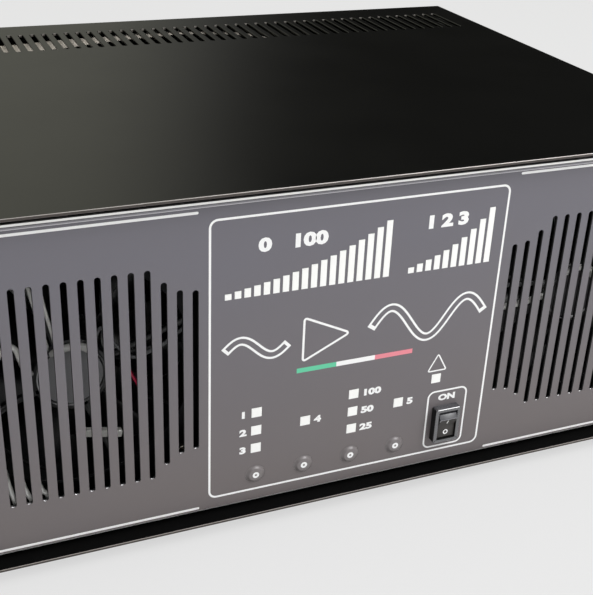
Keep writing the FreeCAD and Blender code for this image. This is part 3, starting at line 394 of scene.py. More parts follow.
def linear(colour):
    """Linear RGBA from an sRGB hex colour such as 6b6870."""
    values = [int(colour[i:i + 2], 16) / 255 for i in (0, 2, 4)]
    return [v / 12.92 if v <= 0.04045 else ((v + 0.055) / 1.055) ** 2.4 for v in values] + [1.0]


def add(tree, kind, inputs=(), **settings):
    """Adds a node with its settings, and fills its inputs with values or with other nodes' sockets."""
    node = tree.nodes.new(kind)
    for key, value in settings.items():
        setattr(node, key, value)
    for key, value in dict(inputs).items():
        if isinstance(value, bpy.types.NodeSocket):
            tree.links.new(value, node.inputs[key])
        else:
            node.inputs[key].default_value = value
    return node


def finish(name, colour, roughness, **sockets):
    """New material with its base colour, roughness and other values on the shader's own sockets."""
    material = bpy.data.materials.new(name)
    material.use_nodes = True
    shader = material.node_tree.nodes["Principled BSDF"]
    shader.inputs["Base Color"].default_value = linear(colour)
    shader.inputs["Roughness"].default_value = roughness
    for key, value in sockets.items():
        shader.inputs[key.replace("_", " ")].default_value = value
    return material, material.node_tree, shader


def grain(tree, shader, size, height, stretch=(1, 1, 1)):
    """Bump from noise whose grain and height are real sizes in mm; stretch draws it out along an axis."""
    place = add(tree, "ShaderNodeTexCoord").outputs["Object"]
    turned = add(tree, "ShaderNodeMapping", {"Vector": place, "Scale": stretch}).outputs["Vector"]
    noise = add(tree, "ShaderNodeTexNoise", {"Vector": turned, "Scale": 1 / (size * MM), "Detail": 3.0})
    bump = add(tree, "ShaderNodeBump",
               {"Height": noise.outputs["Fac"], "Distance": height * MM, "Strength": 1.0})
    tree.links.new(bump.outputs["Normal"], shader.inputs["Normal"])


def blotches(tree, shader, size, low, high):
    """Slow change of roughness between two values, over patches of a size in mm: handling and age."""
    place = add(tree, "ShaderNodeTexCoord").outputs["Object"]
    noise = add(tree, "ShaderNodeTexNoise", {"Vector": place, "Scale": 1 / (size * MM), "Detail": 4.0})
    span = add(tree, "ShaderNodeMapRange", {"Value": noise.outputs["Fac"], "To Min": low, "To Max": high})
    tree.links.new(span.outputs["Result"], shader.inputs["Roughness"])


def powder_coat():
    """Satin black powder coat on steel: its faint orange peel softens reflections, with an olive cast."""
    olive = linear("fffff1")
    material, tree, shader = finish("powder_coat_black", "080808", 0.3, IOR=1.5, Specular_Tint=olive)
    grain(tree, shader, 1.4, 0.005)
    blotches(tree, shader, 60, 0.27, 0.34)
    return material


def printed_film(name, **sockets):
    """Polyester film, printed grey on its back: finely matt, with a painted reflection that makes it cooler
    at its top than at its foot.
    """
    material, tree, shader = finish(name, "6d6a70", 0.42, IOR=1.55, **sockets)
    grain(tree, shader, 0.35, 0.006)
    place = add(tree, "ShaderNodeTexCoord").outputs["Object"]
    height = add(tree, "ShaderNodeSeparateXYZ", {"Vector": place}).outputs["Z"]
    drift = add(tree, "ShaderNodeTexNoise", {"Vector": place, "Scale": 1 / (60 * MM), "Detail": 2.0})
    # Painted reflection: the grey turns from warm at the foot to cool at the top
    share = add(tree, "ShaderNodeMapRange", {"Value": height, "From Min": 0.03, "From Max": 0.17})
    sway = add(tree, "ShaderNodeMath", {0: drift.outputs["Fac"], 1: 0.25, 2: share.outputs["Result"]},
               operation="MULTIPLY_ADD")
    ramp = add(tree, "ShaderNodeValToRGB", {"Fac": sway.outputs[0]})
    ramp.color_ramp.elements[0].color = linear("67605f")
    ramp.color_ramp.elements[1].color = linear("64626a")
    tree.links.new(ramp.outputs["Color"], shader.inputs["Base Color"])
    return material


def grained(name, colour, roughness, size=0.5, height=0.004, **sockets):
    """Moulded plastic, sprayed coat, rubber or ink: one colour under a fine grain of a size in mm."""
    material, tree, shader = finish(name, colour, roughness, **sockets)
    grain(tree, shader, size, height)
    return material


def metal(name, colour, roughness, size=0.4, height=0.003, stretch=(1, 1, 1)):
    """Bare or plated metal: full metal reflection under fine tool or rolling marks."""
    material, tree, shader = finish(name, colour, roughness, Metallic=1.0)
    grain(tree, shader, size, height, stretch)
    blotches(tree, shader, 12, roughness * 0.8, roughness * 1.25)
    return material


def screen_ink(name, colour):
    """Screen-printed ink: opaque, matt and even."""
    return grained("screen_ink_" + name, colour, 0.45, 0.3, 0.003)


# The real grain of film, ink, cut metal and moulded plastic is under 0.1 mm, too fine to show. Here it is
# 0.2 to 0.9 mm, as coarse as it needs to be to soften a reflection.

# Case and front: satin black coat, matt grey film with a painted reflection by height and a broader sheen
# where it is domed, and even inks
coat = powder_coat()
film_grey = printed_film("polyester_film_grey")
button_film = printed_film("polyester_film_domed", Coat_Weight=1.0, Coat_Roughness=0.42)
ink_white = screen_ink("white", "f0f0f0")
ink_green = screen_ink("green", "5ec59c")
ink_red = screen_ink("red", "e38591")
# The next two inks are painted light at the film's top edge: a pale highlight and a lighter grey band
ink_edge_highlight = screen_ink("painted_edge_highlight", "cbc9ce")
ink_lit_band = screen_ink("grey", "8d8b92")

# Coat that is brown and dull where it thins at a sheared edge; a pale painted highlight on the tray's
# corners;
# a grey painted glint at each vent's rear end; a darker dead matt coat inside, painted shade; bare steel
# glints at a corner
thin_coat = grained("powder_coat_thin_edge", "3a3330", 0.5, 0.6, 0.01)
tray_corner_highlight = grained("powder_coat_corner_painted_highlight", "847d78", 0.6, 0.5, 0.01)
bare_corner = metal("steel_bare_corner", "8c8885", 0.45, 0.5, 0.004)
vent_end_glint = grained("powder_coat_vent_end_painted_glint", "66625d", 0.4, 0.4, 0.004)
coat_inside_shade = grained("powder_coat_inside_painted_shade", "050505", 0.8, 0.6, 0.01, Specular_IOR_Level=0.07)

# Aluminium: silvery and streaked where it is cut, a darker copy at the foot of a slot that is painted shade
# dimming its glint, greyer with long streaks as it leaves the rolls, and black on the openings' walls as
# painted shade
edge_metal = metal("aluminium_cut_edge", "e6e6e5", 0.36, 0.2, 0.004, (0.15, 1, 1))
foot_metal_shaded = metal("aluminium_slot_foot_painted_shade", "9c9b9d", 0.36, 0.2, 0.004, (0.15, 1, 1))
mill_metal = metal("aluminium_mill", "c8c8c6", 0.34, 0.6, 0.003, (1, 0.1, 1))
slot_wall_shade = grained("slot_wall_painted_shade", "0b0b0c", 0.5, 0.4, 0.004)

# Steel: dark and mottled under black zinc, evenly dark under oxide, and a plain bright rim
black_zinc = metal("zinc_plate_black", "2a2a2c", 0.45, 2.0, 0.003)
black_oxide = metal("black_oxide_steel", "2a2a2b", 0.4)
rim_steel = metal("steel_rim_dull", "8a8a8c", 0.24)

# Turned hardware: warm white nickel, yellow brass and pinkish copper, all with fairly sharp reflections
nickel = metal("nickel_plate", "c9c2b4", 0.22)
brass = metal("brass_bare", "d2b06a", 0.25)
copper = metal("copper_bare", "d08a62", 0.3)

# Nylon of the switch: a polished frame that mirrors the studio, its black lifted to grey as a painted
# sheen; sides and well foot in painted shade; a pale painted highlight on the ridge; a lighter, painted
# sheen on the raised end over its real gloss; and a brownish spark-eroded face that stays dull
switch_black_sheen = grained("nylon_polished_black_painted_sheen", "38383d", 0.2, 0.7, 0.002, IOR=1.6,
                       Specular_IOR_Level=0.9, Coat_Weight=1.0, Coat_Roughness=0.15)
switch_side_shade = grained("nylon_black_painted_shade", "070707", 0.6, 0.5, 0.006, IOR=1.53, Specular_IOR_Level=0.25)
rocker_ridge_highlight = grained("nylon_ridge_painted_highlight", "a4a4aa", 0.25, 0.4, 0.003, IOR=1.53)
rocker_end_sheen = grained("nylon_polished_end_painted_sheen", "36363b", 0.4, 0.7, 0.002, IOR=1.6,
                     Coat_Weight=0.6, Coat_Roughness=0.35)
rocker_brown = grained("nylon_textured_black", "2d2a28", 0.45, 0.35, 0.02, IOR=1.53)

# Other plastics: glossy nylon mouldings, satin glass-filled fans and relays, waxy white PTFE, and milky
# acrylic that spreads its light evenly
gloss_black = grained("nylon_gloss_black", "0c0c0d", 0.22, 0.9, 0.003, IOR=1.53)
nylon_white = grained("nylon_white", "f2f1ec", 0.2, Coat_Weight=1.0, Coat_Roughness=0.1)
fan_black = grained("pbt_glass_filled_black", "131315", 0.26, 0.4, 0.004, IOR=1.57)
relay_blue = grained("pbt_blue_black", "1f2a3c", 0.35)
ptfe = grained("ptfe_white", "ece9e0", 0.35)
diffuser = grained("opal_acrylic", "f4f4f2", 0.3, 0.8, 0.002, IOR=1.49)

# Satin paper-like labels, the right fan's darker in painted shade, dead matt rubber, glossy green boards,
# dull grey ferrite, a shiny shrunk sleeve, a satin red dipped coat and matt white ceramic
label_grey = grained("polyester_label_grey", "868689", 0.35)
label_in_shade = grained("polyester_label_painted_shade", "2b2b2d", 0.35)
rubber = grained("rubber_black", "141414", 0.75, 0.5, 0.01)
board_green = grained("solder_mask_green", "1f5a38", 0.28, 1.2, 0.01)
ferrite_grey = grained("ferrite_sintered", "3b3b3e", 0.6, 0.3, 0.02)
sleeve_blue = grained("pvc_sleeve_blue", "23304f", 0.3)
core_red = grained("epoxy_coat_red", "9c2b22", 0.42)
ceramic = grained("ceramic_white", "e3e0d8", 0.5)

# Leads: satin silicone, shiny white PTFE sleeves, and a flat beige PVC lead with a dull shine
wire_red = grained("silicone_wire_red", "d02850", 0.4)
wire_black = grained("silicone_wire_black", "171718", 0.4)
wire_grey = grained("silicone_wire_grey", "77787a", 0.35)
sleeving = grained("ptfe_sleeve_white", "f2f1ee", 0.15, Coat_Weight=1.0, Coat_Roughness=0.08)
ribbon_grey = grained("pvc_ribbon_beige_grey", "d8d0c4", 0.35, 0.8, 0.002)


# Case: folded sheet steel

bend_radius = 2.5
bend_steps = 8
bend_arc = bend_radius * np.pi / 2
slot_pitch = 7.32
slot_width = 2.85
end_shares = (0.77, 0.79, 0.877)  # lengths of a row's three end slots, as shares of the full length
vent_width = 3.3
vent_length = 41.0
vent_from_rear = 24.0
vent_from_side = 16.5
vent_end_y = case_high[1] - vent_from_rear
hair = 1e-4  # by which a round end's radius stays under half its slot's width


def slot_row(count, full_length):
    """Offset and length of each slot in a row whose end slots are shorter."""
    order = np.arange(count)
    from_end = np.minimum(order, count - 1 - order)
    share = np.array(end_shares + (1.0,))[np.minimum(from_end, len(end_shares))]
    return zip((order - (count - 1) / 2) * slot_pitch, share * full_length)


def folded_u(half, length, z_edge, up, holes):
    """Sheet folded to a U about two lines: the developed width turns a quarter circle at each bend.

    up is 1 where the sides go down from the top, and -1 where they rise from the bottom.
    """
    flat_half = half - bend_radius
    bends = flat_half + bend_arc * np.linspace(0, 1, bend_steps + 1)
    reach = flat_half + bend_arc + length - bend_radius
    outline, folds = blank((-reach, case_low[1]), (reach, case_high[1]), [*-bends, *bends])
    points, faces = sheet_metal(outline, holes, bevelled(sheet, 0.25), folds)
    u, y, depth = points.T
    past = np.clip(np.abs(u) - flat_half, 0, None)
    angle = np.clip(past / bend_radius, 0, np.pi / 2)
    down = np.clip(past - bend_arc, 0, None)
    x = np.minimum(np.abs(u), flat_half) + (bend_radius - depth) * np.sin(angle)
    z = z_edge - up * (bend_radius - (bend_radius - depth) * np.cos(angle) + down)
    return np.column_stack([x * np.sign(u), y, z]), faces


def folded_foot(half, z_span, foot, face, back, holes):
    """Plate with a foot bent from its lower edge, which turns a quarter circle at the bend.

    Its outer face stands at a Y, and the foot goes off backwards (1) or forwards (-1).
    """
    flat = foot - bend_radius
    bends = flat + bend_arc * np.linspace(0, 1, bend_steps + 1)
    start = flat + bend_arc - bend_radius
    outline, folds = blank((-half, 0), (half, start + z_span[1] - z_span[0]), bends, 1)
    moved = [hole + (0, start - z_span[0]) for hole in holes]
    points, faces = sheet_metal(outline, moved, bevelled(sheet, 0.2), folds)
    x, along, depth = points.T
    angle = np.clip((along - flat) / bend_radius, 0, np.pi / 2)
    reach = np.clip(flat - along, 0, None) + bend_radius - (bend_radius - depth) * np.sin(angle)
    rise = bend_radius - (bend_radius - depth) * np.cos(angle) + np.clip(along - flat - bend_arc, 0, None)
    return np.column_stack([x, face + back * reach, z_span[0] + rise]), faces


def vents():
    """Round-ended slots in the top, near its rear edge."""
    count = int((2 * case_high[0] - 2 * vent_from_side) / slot_pitch)
    places = (np.arange(count) - (count - 1) / 2) * slot_pitch
    return [rectangle(x, vent_end_y - vent_length / 2, vent_width, vent_length, vent_width / 2 - hair)
            for x in places]


def at_ends(centre, normal):
    """Faces of the sheared edges at the front and rear of the case."""
    near = (centre[:, 1] < case_low[1] + 0.3) | (centre[:, 1] > case_high[1] - 0.3)
    return near & (np.abs(normal[:, 1]) > 0.3)


def at_vent_ends(centre, normal):
    """Faces of the vents' rear ends, where the punch breaks out; they take a painted glint."""
    return (np.abs(centre[:, 1] - vent_end_y) < 0.25) & (normal[:, 1] < -0.6)


def squarely_cut(centre, normal):
    """Flat of a sheared edge, without its bevels."""
    return np.abs(normal[:, 1]) > 0.9


def sheared(surface, z_edge, inwards, corner_finish):
    """Coated sheet: thin coat on sheared edges, a given corner finish, painted shade inside, painted glints
    at vents.

    inwards is 1 where the inside is above z_edge, and -1 where it is below.
    """
    def inside(centre, normal):
        """Flat faces past half the sheet's thickness."""
        return (np.abs(normal[:, 2]) > 0.5) & (inwards * (centre[:, 2] - z_edge) > sheet / 2)

    glinting_ends, surface = split(surface, at_vent_ends)
    ends, rest = split(surface, at_ends)
    flat, corners = split(ends, squarely_cut)
    shaded_inside, shown = split(rest, inside)
    # Painted light: shade on the flat inside, and a glint at the vents' rear ends
    parts = [(shown, coat), (shaded_inside, coat_inside_shade), (flat, thin_coat), (corners, corner_finish),
             (glinting_ends, vent_end_glint)]
    return [part for part in parts if len(part[0][1])]


cover_sheet = folded_u(case_high[0], case_high[2] - case_low[2], case_high[2], 1, vents())
tray_sheet = folded_u(tray_high[0], tray_high[2] - tray_low[2], tray_low[2], -1, [])
piece("cover_shell", sheared(cover_sheet, case_high[2], -1, bare_corner), "black_powder_coat", "top_cover")
# The tray's corners take a pale painted highlight
piece("tray_shell", sheared(tray_sheet, tray_low[2], 1, tray_corner_highlight), "black_powder_coat", "bottom_tray")


# Front panel and film

grille_x, grille_z = -middle("left_fan_frame")[0], middle("left_fan_frame")[2]
grille_middles = (-grille_x, grille_x + 1.0)  # the right row of slots sits a little further out
grille_height = 111.9
grille_slots = 16
openings_reach = 78.0  # up and down from the grilles' middle
bar_width = 3.4
bar_pitch = 4.72
bar_heights = (3.2, 29.8)
bars_z = 131.1
graphs = ((-68.0, 18, 0.80), (25.9, 10, 1.35))  # first bar's place, number of bars, rise from bar to bar
window_size = 5.5
windows = [(x, z) for x, _, z in middles("status_light_guides")]
switch_x, _, switch_z = middle("rocker_switch_body")
switch_opening = (13.2, 19.2)
button_x = [middle("button_%d" % number)[0] for number in (1, 2, 3, 4)]
button_z = middle("button_1")[2]
button_radius = 5.1
button_opening = 10.7
plate_top = panel_high[2] - 0.6
film_top = film_high[2] - 1.0
film_thickness = 0.3


def bars():
    """Middle, width and height of every bar: a straight rise plus a cubic one to the last height."""
    places = []
    for first_x, count, slope in graphs:
        i = np.arange(count)
        cubic = (bar_heights[1] - bar_heights[0] - slope * (count - 1)) / (count - 1) ** 3
        height = bar_heights[0] + slope * i + cubic * i ** 3
        places += [(first_x + bar_pitch * k, bars_z + h / 2, bar_width, h) for k, h in zip(i, height)]
    return places


def graph_openings():
    """Openings of the plate over each bar graph, wider at the tall end."""
    margin, low_end, shoulder = 1.0, 16.0, 4.4
    foot, low_top = bars_z - margin, bars_z + bar_heights[0] + low_end
    top = bars_z + bar_heights[1] + margin
    loops = []
    for first_x, count, _ in graphs:
        left = first_x - bar_width / 2 - margin
        right = first_x + bar_pitch * (count - 1) + bar_width / 2 + margin
        corners = [(left, foot), (right, foot), (right, top), (right - shoulder, top), (left, low_top)]
        loops.append(rounded(corners, 0.3, 3))
    return loops


def openings(over_graphs, over_buttons):
    """Openings of the plate or the film: they differ only over the graphs and the buttons."""
    holes = [rectangle(centre + x, grille_z, slot_width, length, slot_width / 2)
             for centre in grille_middles for x, length in slot_row(grille_slots, grille_height)]
    holes += over_graphs
    holes += [rectangle(x, z, window_size, window_size, 0.2, 2) for x, z in windows]
    return holes + over_buttons + [rectangle(switch_x, switch_z, *switch_opening, 0.3, 3)]


def plate_surface():
    """Aluminium plate with bevelled edges."""
    outline = upright((panel_low[0], panel_high[0]), (panel_low[2], plate_top), 1.4)
    over_buttons = [rectangle(x, button_z, button_opening, button_opening, 0.5, 3) for x in button_x]
    holes = openings(graph_openings(), over_buttons)
    levels = bevelled(panel_high[1] - panel_low[1], 0.45)
    return facing_front(sheet_metal(outline, holes, levels), panel_low[1])


def film_surface():
    """Film with a clear opening for each slot, bar, window and button, and for the rocker."""
    outline = upright((film_low[0], film_high[0]), (film_low[2], film_top), 1.2)
    over_graphs = [rectangle(x, z, width, height, 0.15, 2) for x, z, width, height in bars()]
    over_buttons = [circle(x, button_z, button_radius + 0.06) for x in button_x]
    levels = [(0, 0.04), (0.05, 0), (film_thickness, 0)]
    return facing_front(sheet_metal(outline, openings(over_graphs, over_buttons), levels), face_y)


def in_openings(centre, normal):
    """Walls and edges of the openings."""
    near = (np.abs(centre[:, 0]) < panel_high[0] - 1) & (np.abs(centre[:, 2] - grille_z) < openings_reach)
    return near & (np.abs(normal[:, 1]) < 0.95)


def above_feet(centre, normal):
    """Walls of the openings, but for the foot of each, which is bare; the walls take painted shade."""
    return in_openings(centre, normal) & (normal[:, 2] < 0.6)


# The openings' walls are painted black as shade, and their feet a darker copy of the cut edge as painted
# shade
shaded_walls, plate = split(plate_surface(), above_feet)
feet, plate = split(plate, in_openings)
piece("panel_plate", [(plate, edge_metal), (feet, foot_metal_shaded), (shaded_walls, slot_wall_shade)],
      "panel_aluminium", "front_panel")
# The film's walls are painted black as shade
shaded_walls, film = split(film_surface(), above_feet)
piece("panel_film", [(film, film_grey), (shaded_walls, fan_black)], "grey_film", "front_film")


# Printing on the film

ink_proud = 0.03
ink_sunk = 0.01
line_width = 1.3
outline_band = 4.8
outline_width = 1.15
frame_x = (-76.8, 76.8)
frame_z = (21.0, 171.6)
edge_span = (film_low[0] + 0.6, film_high[0] - 0.6)
left_span, right_span = (edge_span[0], -82.0), (82.2, edge_span[1])  # lines beside the frame
pictures_z = 103.5
stripe_x = (-32.3, 31.2)
stripe_z = 86.6
stripe_height = 2.6


def printed(outline, holes=(), y=face_y):
    """Flat printed shape that lies on a face at a Y."""
    return facing_front(sheet_metal(outline, holes, [(-ink_proud, 0), (ink_sunk, 0)]), y)


def printed_frame(x_span, z_span, width, radius):
    """Printed line round a rectangle with rounded corners, about its centreline."""
    x, z = sum(x_span) / 2, sum(z_span) / 2
    across, up = x_span[1] - x_span[0], z_span[1] - z_span[0]
    outer, inner = [rectangle(x, z, across + grow, up + grow, radius + grow / 2, 8)
                    for grow in (width, -width)]
    return printed(outer, [inner])


def printed_line(x_span, z, width):
    """Straight printed line with round ends."""
    return printed(rectangle(sum(x_span) / 2, z, x_span[1] - x_span[0], width, width / 2 - hair))


def printed_outline(loop, width):
    """Printed line along the inside of a loop."""
    return printed(loop, [inset(loop, width)])


def digits(text, x, z, height, stretch, align="CENTER"):
    """Printed figures: their outlines are filled, thickened and laid on the film."""
    curve = bpy.data.curves.new("figures", "FONT")
    curve.body, curve.size, curve.align_x, curve.offset = text, height / 0.76, align, height * 0.075
    curve.resolution_u = 3
    holder = placed("figures", curve)
    bpy.context.view_layer.update()
    data = bpy.data.meshes.new_from_object(holder)
    flat = np.array([v.co[:2] for v in data.vertices])
    faces = [list(p.vertices) for p in data.polygons]
    bpy.data.objects.remove(holder)
    count = len(flat)
    front = np.column_stack([x + flat[:, 0] * stretch, np.full(count, face_y - ink_proud), z + flat[:, 1]])
    back = front + (0, ink_proud + ink_sunk, 0)
    sides = dict.fromkeys(side for face in faces for side in zip(face, face[1:] + face[:1]))
    skin = faces + [[i + count for i in face[::-1]] for face in faces]
    skin += [[b, a, a + count, b + count] for a, b in sides if (b, a) not in sides]
    return np.concatenate([front, back]), skin


def wave_band(x_span, z, height, periods, half, trim):
    """Band about z + height sin(pace x): each side lies along the curve's normal."""
    x = np.linspace(x_span[0] + trim, x_span[1] - trim, 73)
    pace = periods * 2 * np.pi / (x_span[1] - x_span[0])
    slope = height * pace * np.cos((x - x_span[0]) * pace)
    normal = np.column_stack([-slope, np.ones_like(slope)]) / np.sqrt(1 + slope ** 2)[:, None]
    line = np.column_stack([x, z + height * np.sin((x - x_span[0]) * pace)])
    return np.concatenate([line - half * normal, (line + half * normal)[::-1]])


def outlined_wave(x_span, height, periods):
    """Printed outline of a wave: a closed strip between an outer and an inner band."""
    half = outline_band / 2
    outer = wave_band(x_span, pictures_z, height, periods, half, 0)
    inner = wave_band(x_span, pictures_z, height, periods, half - outline_width, outline_width)
    section = [(outer, -ink_proud), (inner, -ink_proud), (inner, ink_sunk), (outer, ink_sunk)]
    return stack([*section, section[0]], face_y, caps=(False, False))


lines = [printed_frame(frame_x, frame_z, 1.1, 3.75), printed_frame((43.9, 66.8), (23.5, 58.5), 1.0, 3.6)]
lines += [printed_line(span, z, line_width)
          for span, z in ((left_span, 176.0), (left_span, 16.2), (right_span, 176.9), (right_span, 16.2))]
lines += [printed_outline(rounded([(41.1, 71.4), (53.1, 71.4), (47.1, 82.4)], 0.9, 5), 0.75),
          printed_outline(rounded([(-30.0, 90.5), (-3.5, 103.5), (-30.0, 116.5)], 1.6, 6), outline_width),
          outlined_wave((-69.5, -37.5), 5.0, 1.0), outlined_wave((6.5, 70.5), 10.0, 1.5)]
# Under the film's top edge: a grey band for the panel's face, printed lighter than the film as painted
# light in the lip's shade, and a pale line that is a painted highlight of the film's edge
painted_light_band = printed_line(edge_span, film_top - 0.5, 0.75)
edge_line = printed_line(edge_span, film_top - 1.05, 0.34)
piece("film_edge_painted_highlight", [(painted_light_band, ink_lit_band), (edge_line, ink_edge_highlight)], "grey_film")
piece("panel_lines", in_finish(ink_white, lines), "grey_film")
stripe_third = (stripe_x[1] - stripe_x[0]) / 3
for number, ink in enumerate((ink_green, ink_white, ink_red)):
    x = stripe_x[0] + stripe_third * (number + 0.5)
    stripe = printed(rectangle(x, stripe_z, stripe_third, stripe_height, 0.05, 1))
    piece("stripe_%d" % (number + 1), [(stripe, ink)], "grey_film")

scales = [digits(text, x, 153.7, 6.7, 1.35) for text, x in (("0", -50.6), ("100", -28.6))]
scales += [digits(text, x, 154.1, 6.7, 1.35) for text, x in (("1", 34.6), ("2", 43.4), ("3", 52.4))]
piece("scale_figures", in_finish(ink_white, scales), "grey_film")
# Each label's figures, its place across, and its row of windows from the lowest
row_z = sorted({round(z, 2) for x, z in windows})
labels = [("1", -57.8, 2), ("2", -57.8, 1), ("3", -57.8, 0), ("4", -21.4, 1),
          ("100", 4.6, 2), ("50", 4.6, 1), ("25", 4.6, 0), ("5", 31.0, 1)]
figures = [digits(text, x, row_z[row] - 1.95, 3.8, 1.4, "RIGHT" if x < -50 else "LEFT")
           for text, x, row in labels]
figures.append(digits("ON", switch_x + 0.4, 52.7, 3.7, 1.3))
piece("status_figures", in_finish(ink_white, figures), "grey_film")


# Push buttons

crown = 1.2
crown_radius = 3.2
skirt_depth = 2.4


def button_surface(x):
    """Low dome: its height follows a smooth step from the rim to a flat crown, h = c s^2 (3 - 2 s)."""
    radius = np.linspace(button_radius, crown_radius, 16)
    share = (button_radius - radius) / (button_radius - crown_radius)
    height = crown * share ** 2 * (3 - 2 * share)
    dome = np.column_stack([radius, -height])
    profile = [(0, skirt_depth), (button_radius, skirt_depth), *dome, (0, -crown)]
    return lathe(profile, (x, face_y, button_z), 56)


def button_stem(x):
    """Square flange behind the panel, and the stem into its switch."""
    sections = [(12.7, 2.35), (12.7, 3.15), (3.2, 3.15), (3.2, 6.8)]
    return moulding(x, button_z, [(size, size, 0.4, depth) for size, depth in sections], 3, face_y)


for number, x in enumerate(button_x, start=1):
    travelling = "push_button_%d" % number
    ring = printed(circle(x, button_z, 1.75, 40), [circle(x, button_z, 0.62, 40)], face_y - crown)
    piece("button_cap_%d" % number, in_finish(button_film, [button_surface(x), button_stem(x)]),
          "button_grey", "button_%d" % number, body=travelling)
    piece("button_mark_%d" % number, [(ring, ink_white)], "button_grey", body=travelling)


# Rocker switch

tilt = math.radians(13.0)
pivot_y = face_y - 1.2
valley = 2.3 / math.cos(tilt)
rocker_half = 7.5
end_slope = 1.9  # how much shorter the face is than the rocker at its raised end
rocker_shoulder = 1.2
rocker_tip = valley + rocker_half * math.tan(tilt)
lengthwise = (0, -math.sin(tilt), math.cos(tilt))
switch_sections = [(11, 17, 0.4, 4.8), (11, 17, 0.4, -4.3), (11.3, 17.3, 0.55, -4.5),
                   (14.5, 20.5, 0.95, -4.5), (15, 21, 1.2, -4.25), (15, 21, 1.2, 0), (13, 19, 0.5, 0),
                   (13, 19, 0.5, 14)]


def shaded(centre, normal):
    """Faces that look across the switch, and the foot of its well, which take painted shade."""
    return (np.abs(normal[:, 0]) > 0.8) | (np.abs(centre[:, 2] - (switch_z - 8.575)) < 0.1)


def tilted(points):
    """Turns (across, outwards, up) about the rocker's pivot by its tilt, top end out."""
    x, out, up = np.asarray(points, float).T
    y = pivot_y - out * math.cos(tilt) - up * math.sin(tilt)
    return np.column_stack([x, y, switch_z - out * math.sin(tilt) + up * math.cos(tilt)])


def dish(up):
    """Outward rise of the rocker's face from its valley: the softened V of sqrt(up^2 + 0.3)."""
    return valley + (np.sqrt(up ** 2 + 0.3) - math.sqrt(0.3)) * math.tan(tilt)


def rocker_surface():
    """Rocker's side outline, its face dished, carried across its width with softened edges."""
    top = [(up, rocker_tip) for up in np.linspace(rocker_half - end_slope, -rocker_half, 25)]
    foot = [(-rocker_half, -1), (-3, -4), (3, -4), (rocker_half, -1), (rocker_half, rocker_shoulder)]
    loop = rounded(foot + top, 0.5, 5)
    lift = np.clip((loop[:, 1] - rocker_shoulder) / (rocker_tip - rocker_shoulder - 0.5), 0, 1)
    loop[:, 1] += lift * (dish(loop[:, 0]) - rocker_tip)
    rings = []
    for x, bevel in ((-5.3, 0.3), (-5.2, 0.1), (-5.0, 0), (5.0, 0), (5.2, 0.1), (5.3, 0.3)):
        up, out = inset(loop, bevel).T
        narrow = 1 - 0.11 * np.clip(out / rocker_tip, 0, 1) * np.clip(up / rocker_half, 0, 1)
        rings.append(tilted(np.column_stack([switch_x + x * narrow, out, up])))
    return loft(rings)


def rocker_mark(outline, holes=()):
    """Printed mark that follows the dished face."""
    points, faces = sheet_metal(outline, holes, [(-ink_proud, 0), (0.02, 0)])
    return tilted(np.column_stack([points[:, 0], dish(points[:, 1]) - points[:, 2], points[:, 1]])), faces


def end_wall(centre, normal):
    """Faces that look along the rocker, at its raised end, which take a lighter, painted sheen."""
    return normal @ lengthwise > 0.45


def ridge(centre, normal):
    """Faces of the rounded edge between the raised end and the pressed face, which take a painted
    highlight.
    """
    return (centre[:, 2] > switch_z + 3.2) & (normal @ lengthwise > -0.17)


# The frame is black lifted to grey as a painted sheen; its sides and well foot are painted shade
sides, faces = split(moulding(switch_x, switch_z, switch_sections, 5, face_y), shaded)
piece("switch_housing", [(faces, switch_black_sheen), (sides, switch_side_shade)],
      "black_plastic", "rocker_switch_body")
# The raised end takes a painted sheen, and its ridge a pale painted highlight
polished, textured = split(rocker_surface(), end_wall)
ridge_lit, textured = split(textured, ridge)
piece("rocker_paddle", [(polished, rocker_end_sheen), (ridge_lit, rocker_ridge_highlight), (textured, rocker_brown)],
      "rocker_black", "rocker", body="power_rocker")
marks = [rocker_mark(circle(switch_x, -4.1, 1.45, 32), [circle(switch_x, -4.1, 0.85, 32)]),
         rocker_mark(rectangle(switch_x, 2.9, 0.6, 2.6, 0.1, 2))]
piece("rocker_marks", in_finish(ink_white, marks), "rocker_black", body="power_rocker")


# Fans

fan_front, fan_back = fan_low[1], fan_high[1]
fan_size = 120
fan_corners = [(u, v) for u in (-52.5, 52.5) for v in (-52.5, 52.5)]
flange = 4.0
bore_radius = 57.5
hub_radius = 18.5
seat_height = 6.0
motor_front = fan_front + 0.5
hub_front = motor_front + seat_height + 0.5
blade_count = 7
root_radius = 17.5
tip_radius = bore_radius - 1.2
label_radius = 14.6
rim_radius = 16.4


def strut_surface(x, turn):
    """Rounded bar from the motor's seat to the ring, across the opening."""
    radial = np.array([math.cos(turn), 0, -math.sin(turn)])
    across = np.array([math.sin(turn), 0, math.cos(turn)])
    loop = rectangle(0, 1.5, 3.0, 3.0, 0.8, 4)
    centre = np.array([x, motor_front, grille_z])
    widths = ((9.0, 1.5), (hub_radius, 1.35), (24.0, 1.0), (50.0, 1.0), (58.6, 1.4))
    return loft([centre + radial * reach + loop[:, :1] * across * wide + loop[:, 1:] * (0, 1, 0)
                 for reach, wide in widths])


